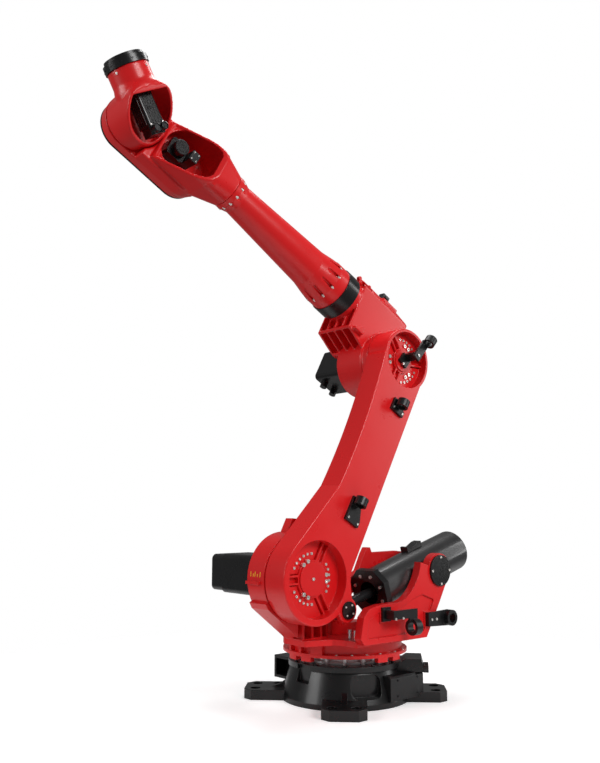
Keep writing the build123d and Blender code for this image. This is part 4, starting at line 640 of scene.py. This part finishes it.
# Rear cable clamp: flat black arm with an eye for the rear cable bundle.
# It is a steel casting, lacquered like the front clamp.
dress(lacquer("rear_black"), "rear_cable_clamp")
rear_screw_head = 0.006
rear_screw_height = 0.397
rear_screw_alongs = (-0.19, -0.225)
screws("rear_clamp_screws", "turret", [
    seat(["rear_cable_clamp"], (along, left_of_all, rear_screw_height), rightwards, rear_screw_head)
    for along in rear_screw_alongs
], zinc_screw)

# Lower arm: cast arm like a thick blade, with a deep round recess over each joint.
# It is under the same red enamel, and the screws in the recesses tie it to the gears.
dress(enamel("arm_red", red=0.74, edge=0.0045), "lower_arm_casting")
hub_names = ["lower_arm_casting", "shoulder_hub", "elbow_hub"]
circle_reach = 0.113
circle_screw_head = 0.0064
large_screw_head = 0.0095
large_screw_turn = 10
sector_screw_count = 6
sector_screw_turn = 13


def joint_screws(joint, sectors, large_reach):
    """Screws of an arm joint: in each sector six on the outer circle and two large ones inside it."""
    spots = []
    for sector in sectors:
        for step in range(sector_screw_count):
            turn = sector + sector_screw_turn * (step - (sector_screw_count - 1) / 2)
            spots.append(on_face(hub_names, joint, circle_reach, turn, circle_screw_head))
        for side in (-large_screw_turn, large_screw_turn):
            spots.append(on_face(hub_names, joint, large_reach, sector + side, large_screw_head))
    return spots


elbow = (-0.1795, 1.6931)
shoulder_spots = joint_screws(shoulder, sectors=(60, 180, -60), large_reach=0.085)
screws("shoulder_joint_screws", "lower_arm", shoulder_spots, zinc_screw)
elbow_spots = joint_screws(elbow, sectors=(0, 120, -120), large_reach=0.088)
screws("elbow_joint_screws", "lower_arm", elbow_spots, zinc_screw)

# Shoulder hub: red steel disc in the middle of the lower joint, bolted through to the gear.
# One centre screw closes its grease bore.
dress(enamel("hub_red", red=0.7, edge=0.003), "shoulder_hub")
centre_screw_head = 0.0075
centre_screw = on_face(hub_names, shoulder, 0.0, 0, centre_screw_head)
screws("shoulder_centre_screw", "lower_arm", [centre_screw], zinc_screw)

# Elbow hub: the same disc at the upper joint, smaller and set under the cable bracket.
# It is painted with the arm.
dress(enamel("elbow_hub_red", red=0.7, edge=0.003), "elbow_hub")

# Balancer pin: black steel pin through the arm's lug, with a round cap held by four screws.
# It carries the eye of the balancer rod.
pin_black = cast_material(
    "pin_black", paint=(0.008, 0.008, 0.0085), drift=0.3, grain=1200.0, depth=0.08,
    gloss=(0.22, 0.32), edge=0.002, coat=0.05, metal=0.3,
)
dress(pin_black, "balancer_pin")
rod_pin = (0.26975, 0.46691)
pin_screw_reach = 0.028
pin_screw_head = 0.0045
screws("balancer_pin_screws", "lower_arm", [
    on_face(["balancer_pin"], rod_pin, pin_screw_reach, degrees, pin_screw_head)
    for degrees in (35, 125, 215, 305)
], zinc_screw)

# Lower cable clip: black steel plate across the arm's face, with a ring for the cable bundle.
# Two screws hold it to the arm.
dress(lacquer("clip_black"), "lower_cable_clip")
arm_length = 1.25
arm_lean = math.radians(30.4)
arm_up = (-math.sin(arm_lean), math.cos(arm_lean))
arm_front = (math.cos(arm_lean), math.sin(arm_lean))
clip_screw_off = 0.034
clip_screw_head = 0.0055


def clip_spots(name, arm_share, back):
    """The two screws on a clip's plate, at a share of the arm's length and a distance behind its line."""
    spots = []
    along = arm_length * arm_share
    for off in (-clip_screw_off, clip_screw_off):
        start = (
            shoulder[0] + arm_up[0] * along + arm_front[0] * (off - back), left_of_all,
            shoulder[1] + arm_up[1] * along + arm_front[1] * (off - back),
        )
        spots.append(seat([name], start, rightwards, clip_screw_head))
    return spots


lower_spots = clip_spots("lower_cable_clip", arm_share=0.2624, back=0.0456)
screws("lower_clip_screws", "lower_arm", lower_spots, zinc_screw)

# Upper cable clip: the same plate and ring nearer the elbow.
# It is lacquered like the lower one.
dress(lacquer("upper_clip_black"), "upper_cable_clip")
upper_spots = clip_spots("upper_cable_clip", arm_share=0.7725, back=0.0543)
screws("upper_clip_screws", "lower_arm", upper_spots, zinc_screw)

# Elbow cable bracket: black strap over the upper joint that reaches past its rim and holds a ring.
# It is bent from steel strip and lacquered, and two screws hold it.
dress(lacquer("strap_black"), "elbow_cable_bracket")
strap_screw_head = 0.0065
screws("strap_screws", "lower_arm", [
    on_face(["elbow_cable_bracket"], elbow, reach, degrees, strap_screw_head)
    for reach, degrees in ((0.027, -48), (0.022, 130))
], zinc_screw)

# Elbow casting: ribbed red iron housing that carries the forearm and its drives.
# As a sand casting it has soft edges and wide blends where its walls meet.


def softened(name, body, finish, voxel, passes, fills=()):
    """A copy of a CAD casting with its edges and joints melted together; fills are solids cast on to it."""
    merge_distance = 0.00002
    kept_share = 0.5
    form = bmesh.new()
    form.from_mesh(nodes[name].data)
    bmesh.ops.remove_doubles(form, verts=form.verts, dist=merge_distance)
    for low_points, high_points in fills:
        low_row = [form.verts.new(point) for point in low_points]
        high_row = [form.verts.new(point) for point in high_points]
        for corner in range(len(low_row)):
            after = (corner + 1) % len(low_row)
            form.faces.new((low_row[corner], low_row[after], high_row[after], high_row[corner]))
        form.faces.new(low_row)
        form.faces.new(high_row)
    bmesh.ops.recalc_face_normals(form, faces=form.faces)
    mesh = bpy.data.meshes.new(name + "_cast")
    form.to_mesh(mesh)
    form.free()
    piece = bpy.data.objects.new(name + "_cast", mesh)
    bpy.context.collection.objects.link(piece)
    remesh = piece.modifiers.new("voxels", "REMESH")
    remesh.mode = "VOXEL"
    remesh.voxel_size = voxel
    remesh.use_smooth_shade = True
    melt = piece.modifiers.new("melt", "SMOOTH")
    melt.factor = 0.5
    melt.iterations = passes
    thin = piece.modifiers.new("thin", "DECIMATE")
    thin.ratio = kept_share
    made = bpy.data.meshes.new_from_object(piece.evaluated_get(bpy.context.evaluated_depsgraph_get()))
    piece.modifiers.clear()
    piece.data = made
    made.materials.clear()
    made.materials.append(finish)
    for polygon in made.polygons:
        polygon.use_smooth = True
    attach(piece, body)
    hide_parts(name)


softened("elbow_casting", "elbow", enamel("elbow_red", red=0.72, edge=0.002), voxel=0.0036, passes=3)

# Elbow motor: servo motor on the housing's right, with two connector stubs under its end.
# It is anodised black.
dress(anodised("elbow_motor_black"), "elbow_motor")

# Roll reducer: black anodised gear ring between the elbow and the forearm tube.
# It is turned, with a smooth rim.
reducer_black = cast_material(
    "reducer_black", paint=(0.006, 0.006, 0.0065), drift=0.3, grain=1200.0, depth=0.06,
    gloss=(0.22, 0.3), edge=0.002, coat=0.12, ior_level=0.45,
)
dress(reducer_black, "roll_reducer")

# Elbow top plate: small red cast plate on the housing's rear top edge, with an open slot.
# It is painted with the housing.
dress(enamel("plate_red", red=0.7, edge=0.003), "elbow_top_plate")

# Elbow connector: black plug on the plate, moulded plastic over a metal shell.
# A latch across it locks it in its place.
elbow_plug = cast_material(
    "elbow_plug", paint=(0.007, 0.007, 0.0075), drift=0.3, grain=1400.0, depth=0.1,
    gloss=(0.28, 0.4), edge=0.0015, coat=0.0,
)
dress(elbow_plug, "elbow_connector")

# Forearm tube: tapering red cast tube with a slotted flange at each end.
# Screws sit in the slots and tie the flanges to the reducer and to the wrist.
dress(enamel("tube_red", red=0.74, edge=0.003), "forearm_tube")
forearm_start = Vector((-0.28398, 0.0, 1.88791))
forearm_slope = math.radians(28.2)
forearm_line = Vector((math.cos(forearm_slope), 0.0, math.sin(forearm_slope)))
forearm_rise = Vector((-forearm_line.z, 0.0, forearm_line.x))
leftward = Vector(leftwards)
tube_screw_count = 12
tube_screw_turn = -2
tube_screw_head = 0.0068
tube_spots = []
for step in range(tube_screw_count):
    angle = math.radians(tube_screw_turn + step * 360 / tube_screw_count)
    outwards = leftward * math.cos(angle) + forearm_rise * math.sin(angle)
    for along, reach, way in ((0.64, 0.1215, -1), (1.0, 0.0865, 1)):
        start = forearm_start + forearm_line * along + outwards * reach
        tube_spots.append(seat(["forearm_tube"], start, forearm_line * way, tube_screw_head))
screws("tube_flange_screws", "forearm", tube_spots, zinc_screw, height=1.1)

# Wrist housing: red casting in which the tube ends, a rounded body cut off on a slant, open to its cavity.
# A flat drive case runs beside it, and the casting fills the corners of the pocket in a round.
pocket_half_height = 0.104
pocket_wall = 0.004
pocket_end_wall = 0.005
pocket_inset = 0.006
pocket_floor = -0.118
corner_steps = 8
slant_start = 1.306
slant_slope = 0.577
slant_side = 0.1
pocket_top = 0.086
pocket_corners = []
for middle, length, way in ((1.392, 0.086, -1), (1.5, 0.068, 1)):
    for side in (-1, 1):
        outline = [(middle, side * pocket_half_height)]
        for step in range(1, corner_steps + 1):
            angle = math.radians(step * 90 / corner_steps)
            outline.append(
                (middle + way * length * math.sin(angle), side * pocket_half_height * math.cos(angle))
            )
        pocket_end = middle + way * (length + pocket_end_wall)
        outline += [
            (pocket_end, 0.0), (pocket_end, side * (pocket_half_height - pocket_inset)),
            (middle, side * (pocket_half_height + pocket_wall)),
        ]
        floor_points, top_points = [], []
        for along, up in outline:
            foot = forearm_start + forearm_line * along + forearm_rise * up
            floor_points.append(foot + leftward * pocket_floor)
            top_side = min(pocket_top, slant_side - slant_slope * (along - slant_start))
            top_points.append(foot + leftward * top_side)
        pocket_corners.append((floor_points, top_points))
softened(
    "wrist_housing", "forearm", enamel("wrist_red", red=0.73, edge=0.002), voxel=0.004, passes=6,
    fills=pocket_corners,
)

# Wrist cover: black pressed lid over the belt on the wrist's right side.
# Screws run along both its edges.
cover_black = cast_material(
    "cover_black", paint=(0.007, 0.007, 0.0075), drift=0.35, grain=1200.0, depth=0.12,
    gloss=(0.28, 0.4), edge=0.002, coat=0.0, ior_level=0.42,
)
dress(cover_black, "wrist_cover")
wrist_along = 1.718
cover_screw_alongs = (1.40, 1.48, 1.56, 1.64, wrist_along)
cover_screw_off = 0.108
cover_screw_head = 0.005
right_of_cover = -0.5
cover_spots = []
for along in cover_screw_alongs:
    for off in (-cover_screw_off, cover_screw_off):
        start = forearm_start + forearm_line * along + forearm_rise * off + leftward * right_of_cover
        cover_spots.append(seat(["wrist_cover"], start, leftwards, cover_screw_head))
screws("wrist_cover_screws", "forearm", cover_spots, dark_screw)

# Wrist motor: small servo motor inside the hollow wrist, anodised black.
# Four screws hold its square body, and a turned cap closes its face.


def turned(name, body, profile, place, finish, steps=40):
    """A turned piece: (radius, height) pairs spun about a line to the left, and closed at both ends."""
    sharp_angle = math.radians(32)
    form = bmesh.new()
    rings = []
    for radius, height in profile:
        if radius == 0:
            rings.append([form.verts.new((0.0, 0.0, height))])
            continue
        ring = []
        for step in range(steps):
            angle = step * 2 * math.pi / steps
            ring.append(form.verts.new((radius * math.cos(angle), radius * math.sin(angle), height)))
        rings.append(ring)
    for low_ring, high_ring in zip(rings, rings[1:]):
        for step in range(steps):
            after = (step + 1) % steps
            corners = [low_ring[step % len(low_ring)], low_ring[after % len(low_ring)]]
            corners += [high_ring[after % len(high_ring)], high_ring[step % len(high_ring)]]
            form.faces.new(list(dict.fromkeys(corners)))
    bmesh.ops.recalc_face_normals(form, faces=form.faces)
    turn = leftward.to_track_quat("Z", "Y").to_matrix().to_4x4()
    bmesh.ops.transform(form, matrix=Matrix.Translation(place) @ turn, verts=form.verts)
    mesh = bpy.data.meshes.new(name)
    form.to_mesh(mesh)
    form.free()
    mesh.materials.append(finish)
    for polygon in mesh.polygons:
        polygon.use_smooth = True
    mesh.set_sharp_from_angle(angle=sharp_angle)
    piece = bpy.data.objects.new(name, mesh)
    bpy.context.collection.objects.link(piece)
    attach(piece, body)


def small_motor_finish(name):
    """The black anodised finish of the two small motors."""
    return cast_material(
        name, paint=(0.007, 0.007, 0.0075), drift=0.3, grain=1400.0, depth=0.08,
        gloss=(0.22, 0.32), edge=0.002, coat=0.1, ior_level=0.45,
    )


wrist_motor_black = small_motor_finish("wrist_motor_black")
dress(wrist_motor_black, "wrist_motor")
wrist_drum_radius = 0.132
drum_gap = 0.006
drum_wall = 0.014
motor_gap = 0.022
motor_half = 0.048
motor_middle = forearm_start + forearm_line * (
    wrist_along - wrist_drum_radius - drum_gap - drum_wall - motor_gap - motor_half
)
cap_profile = [
    (0, -0.004), (0.0375, -0.004), (0.0375, 0.0), (0.0355, 0.0025), (0.029, 0.0025), (0.0275, 0.001),
    (0.0235, 0.001), (0.022, 0.003), (0.009, 0.003), (0.007, 0.0012), (0, 0.0012),
]
cap_lift = 0.0042
cap_place = motor_middle + leftward * cap_lift
turned("wrist_motor_cap", "forearm", cap_profile, cap_place, wrist_motor_black, steps=48)
left_of_motor = 0.4
wrist_screw_off = 0.038
wrist_screw_head = 0.0052
wrist_motor_spots = []
for along in (-wrist_screw_off, wrist_screw_off):
    for up in (-wrist_screw_off, wrist_screw_off):
        start = motor_middle + forearm_line * along + forearm_rise * up + leftward * left_of_motor
        wrist_motor_spots.append(seat(["wrist_motor"], start, rightwards, wrist_screw_head))
screws("wrist_motor_screws", "forearm", wrist_motor_spots, dark_screw)

# Wrist connector: black plug behind the wrist motor, moulded with a square cap.
# Four screws hold the cap.
wrist_plug = cast_material(
    "wrist_plug", paint=(0.007, 0.007, 0.0075), drift=0.3, grain=1400.0, depth=0.1,
    gloss=(0.26, 0.38), edge=0.0015, coat=0.0,
)
dress(wrist_plug, "wrist_connector")
plug_gap = 0.024
plug_screw_along = 0.013
plug_screw_up = 0.019
plug_screw_head = 0.0036
plug_middle = motor_middle - forearm_line * (motor_half + plug_gap)
plug_spots = []
for up in (plug_screw_up, -plug_screw_up):
    for along in (-plug_screw_along, plug_screw_along):
        start = plug_middle + forearm_line * along + forearm_rise * up + leftward * left_of_motor
        plug_spots.append(seat(["wrist_connector"], start, rightwards, plug_screw_head))
screws("wrist_plug_screws", "forearm", plug_spots, zinc_screw)

# Tilt housing: red cast end piece of the wrist that holds the tool motor.
# It is cast in one, with wide blends between its drum and its neck.
softened("tilt_housing", "wrist", enamel("tilt_red", red=0.73, edge=0.002), voxel=0.0035, passes=5)

# Tool motor: small square servo motor in the open drum of the tilt housing, anodised black.
# It has ribs on three sides, four screws in its left face and two round plugs at its rear.
tool_motor_black = small_motor_finish("tool_motor_black")
dress(tool_motor_black, "tool_motor")
wrist_place = Vector((1.2301, 0.0, 2.69975))
tool_slope = math.radians(60.3)
tool_line = Vector((math.cos(tool_slope), 0.0, math.sin(tool_slope)))
tool_rise = Vector((-tool_line.z, 0.0, tool_line.x))
rib_count = 5
rib_pitch = 0.0145
rib_foot = 0.0446
rib_height = 0.0028
rib_half_foot, rib_half_top = 0.0032, 0.0022
rib_start, rib_end = -0.058, 0.072
rib_slope = 0.002
rib_form = bmesh.new()
for face_way, face_side in ((leftward, tool_rise), (-tool_rise, leftward), (tool_rise, leftward)):
    for step in range(rib_count):
        foot = wrist_place + face_way * rib_foot + face_side * ((step - (rib_count - 1) / 2) * rib_pitch)
        rows = []
        for along, lift in (
            (rib_start, 0.0), (rib_start + rib_slope, rib_height),
            (rib_end - rib_slope, rib_height), (rib_end, 0.0),
        ):
            rows.append([
                rib_form.verts.new(foot + tool_line * along + face_side * across + face_way * (lift * share))
                for across, share in (
                    (-rib_half_foot, 0.0), (-rib_half_top, 1.0), (rib_half_top, 1.0), (rib_half_foot, 0.0)
                )
            ])
        for first, second in zip(rows, rows[1:]):
            for corner in range(4):
                after = (corner + 1) % 4
                rib_form.faces.new((first[corner], first[after], second[after], second[corner]))
        rib_form.faces.new(rows[0])
        rib_form.faces.new(rows[-1])
bmesh.ops.recalc_face_normals(rib_form, faces=rib_form.faces)
rib_mesh = bpy.data.meshes.new("tool_motor_ribs")
rib_form.to_mesh(rib_mesh)
rib_form.free()
rib_mesh.materials.append(tool_motor_black)
tool_motor_ribs = bpy.data.objects.new("tool_motor_ribs", rib_mesh)
bpy.context.collection.objects.link(tool_motor_ribs)
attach(tool_motor_ribs, "wrist")
plug_profile = [
    (0, -0.004), (0.0185, -0.004), (0.0185, 0.006), (0.0165, 0.008), (0.0165, 0.022), (0.018, 0.023),
    (0.018, 0.03), (0.0155, 0.0315), (0.0155, 0.026), (0, 0.026),
]
tool_plug_back = 0.084
tool_plug_off = 0.021
tool_plug_side = 0.039
for index, up in enumerate((-tool_plug_off, tool_plug_off)):
    plug_place = wrist_place - tool_line * tool_plug_back + tool_rise * up + leftward * tool_plug_side
    turned("tool_motor_plug_%d" % (index + 1), "wrist", plug_profile, plug_place, tool_motor_black)
tool_screw_off = 0.034
tool_screw_alongs = (-0.06, 0.088)
tool_screw_head = 0.0042
tool_motor_spots = []
for side in (-tool_screw_off, tool_screw_off):
    for along in tool_screw_alongs:
        start = wrist_place + tool_line * along + tool_rise * side + leftward * left_of_motor
        tool_motor_spots.append(seat(["tool_motor"], start, rightwards, tool_screw_head))
screws("tool_motor_screws", "wrist", tool_motor_spots, zinc_screw)

# Tool reducer: black anodised gear ring at the end of the wrist, turned from steel.
# Screws sit round its rim, and three more hold the neck behind it.
tool_reducer_black = cast_material(
    "tool_reducer_black", paint=(0.006, 0.006, 0.0065), drift=0.3, grain=1200.0, depth=0.06,
    gloss=(0.22, 0.3), edge=0.0015, coat=0.1, ior_level=0.45,
)
dress(tool_reducer_black, "tool_reducer")
tool_ring_count = 12
tool_ring_along = 0.22
tool_ring_head = 0.0042
outside_wrist = 0.3
tool_ring_spots = []
for step in range(tool_ring_count):
    angle = math.radians((step + 0.5) * 360 / tool_ring_count)
    outwards = leftward * math.cos(angle) + tool_rise * math.sin(angle)
    start = wrist_place + tool_line * tool_ring_along + outwards * outside_wrist
    tool_ring_spots.append(seat(["tool_reducer"], start, -outwards, tool_ring_head))
screws("tool_ring_screws", "wrist", tool_ring_spots, dark_screw, height=0.5)
neck_screw_head = 0.0055
neck_spots = []
for degrees, along in ((-20, 0.18), (70, 0.186), (160, 0.186)):
    angle = math.radians(degrees)
    outwards = leftward * math.cos(angle) - tool_rise * math.sin(angle)
    start = wrist_place + tool_line * along + outwards * outside_wrist
    neck_spots.append(seat(["tilt_housing"], start, -outwards, neck_screw_head))
screws("neck_screws", "wrist", neck_spots, zinc_screw, height=0.5)

# Tool flange: turned black plate that takes the gripper, with a pilot bore and six threaded holes.
# It is hard anodised aluminium.
flange_black = cast_material(
    "flange_black", paint=(0.007, 0.007, 0.0075), drift=0.3, grain=1200.0, depth=0.06,
    gloss=(0.24, 0.32), edge=0.0012, coat=0.05, ior_level=0.45,
)
dress(flange_black, "tool_flange")

# Balancer cylinder: drawn steel tube under satin black paint, swung between the trunnions.
# The smooth tube mirrors the soft boxes as long bright bands.
tube_black = cast_material(
    "tube_black", paint=(0.012, 0.012, 0.0125), drift=0.15, grain=1500.0, depth=0.02,
    gloss=(0.3, 0.36), edge=0.004, coat=0.5, ior_level=0.75,
)
dress(tube_black, "balancer_cylinder")

# Balancer flange: black cast front plate of the cylinder, held by a ring of eight screws.
# The rod slides through its middle.
end_black = cast_material(
    "end_black", paint=(0.007, 0.007, 0.0075), drift=0.35, grain=1000.0, depth=0.15,
    gloss=(0.28, 0.4), edge=0.002, coat=0.0, ior_level=0.42,
)
dress(end_black, "balancer_flange")
balancer_side = 0.235
rod_pin_place = Vector((rod_pin[0], balancer_side, rod_pin[1]))
rod_line = (rod_pin_place - Vector((trunnion[0], balancer_side, trunnion[1]))).normalized()
rod_rise = Vector((-rod_line.z, 0.0, rod_line.x))
end_screw_count = 8
end_screw_reach = 0.088
end_screw_head = 0.008
before_flange = 0.3
end_spots = []
for step in range(end_screw_count):
    angle = math.radians((step + 0.5) * 360 / end_screw_count)
    outwards = leftward * math.cos(angle) + rod_rise * math.sin(angle)
    start = rod_pin_place + rod_line * before_flange + outwards * end_screw_reach
    end_spots.append(seat(["balancer_flange"], start, -rod_line, end_screw_head))
screws("balancer_end_screws", "balancer", end_spots, zinc_screw, height=0.8)

# Lifting bracket: black steel strap bent over the cylinder's top as a saddle.
# A crane hook takes the balancer by it during fitting.
lug_black = cast_material(
    "lug_black", paint=(0.007, 0.007, 0.0075), drift=0.35, grain=1200.0, depth=0.12,
    gloss=(0.3, 0.42), edge=0.0015, coat=0.0, ior_level=0.42,
)
dress(lug_black, "lifting_bracket")

# Balancer rod: dark steel rod with a forged eye at the arm's end.
# The sliding part is ground smooth.
rod_steel = cast_material(
    "rod_steel", paint=(0.045, 0.045, 0.048), drift=0.25, grain=900.0, depth=0.06,
    gloss=(0.2, 0.3), edge=0.002, coat=0.0, metal=0.7,
)
dress(rod_steel, "balancer_rod")
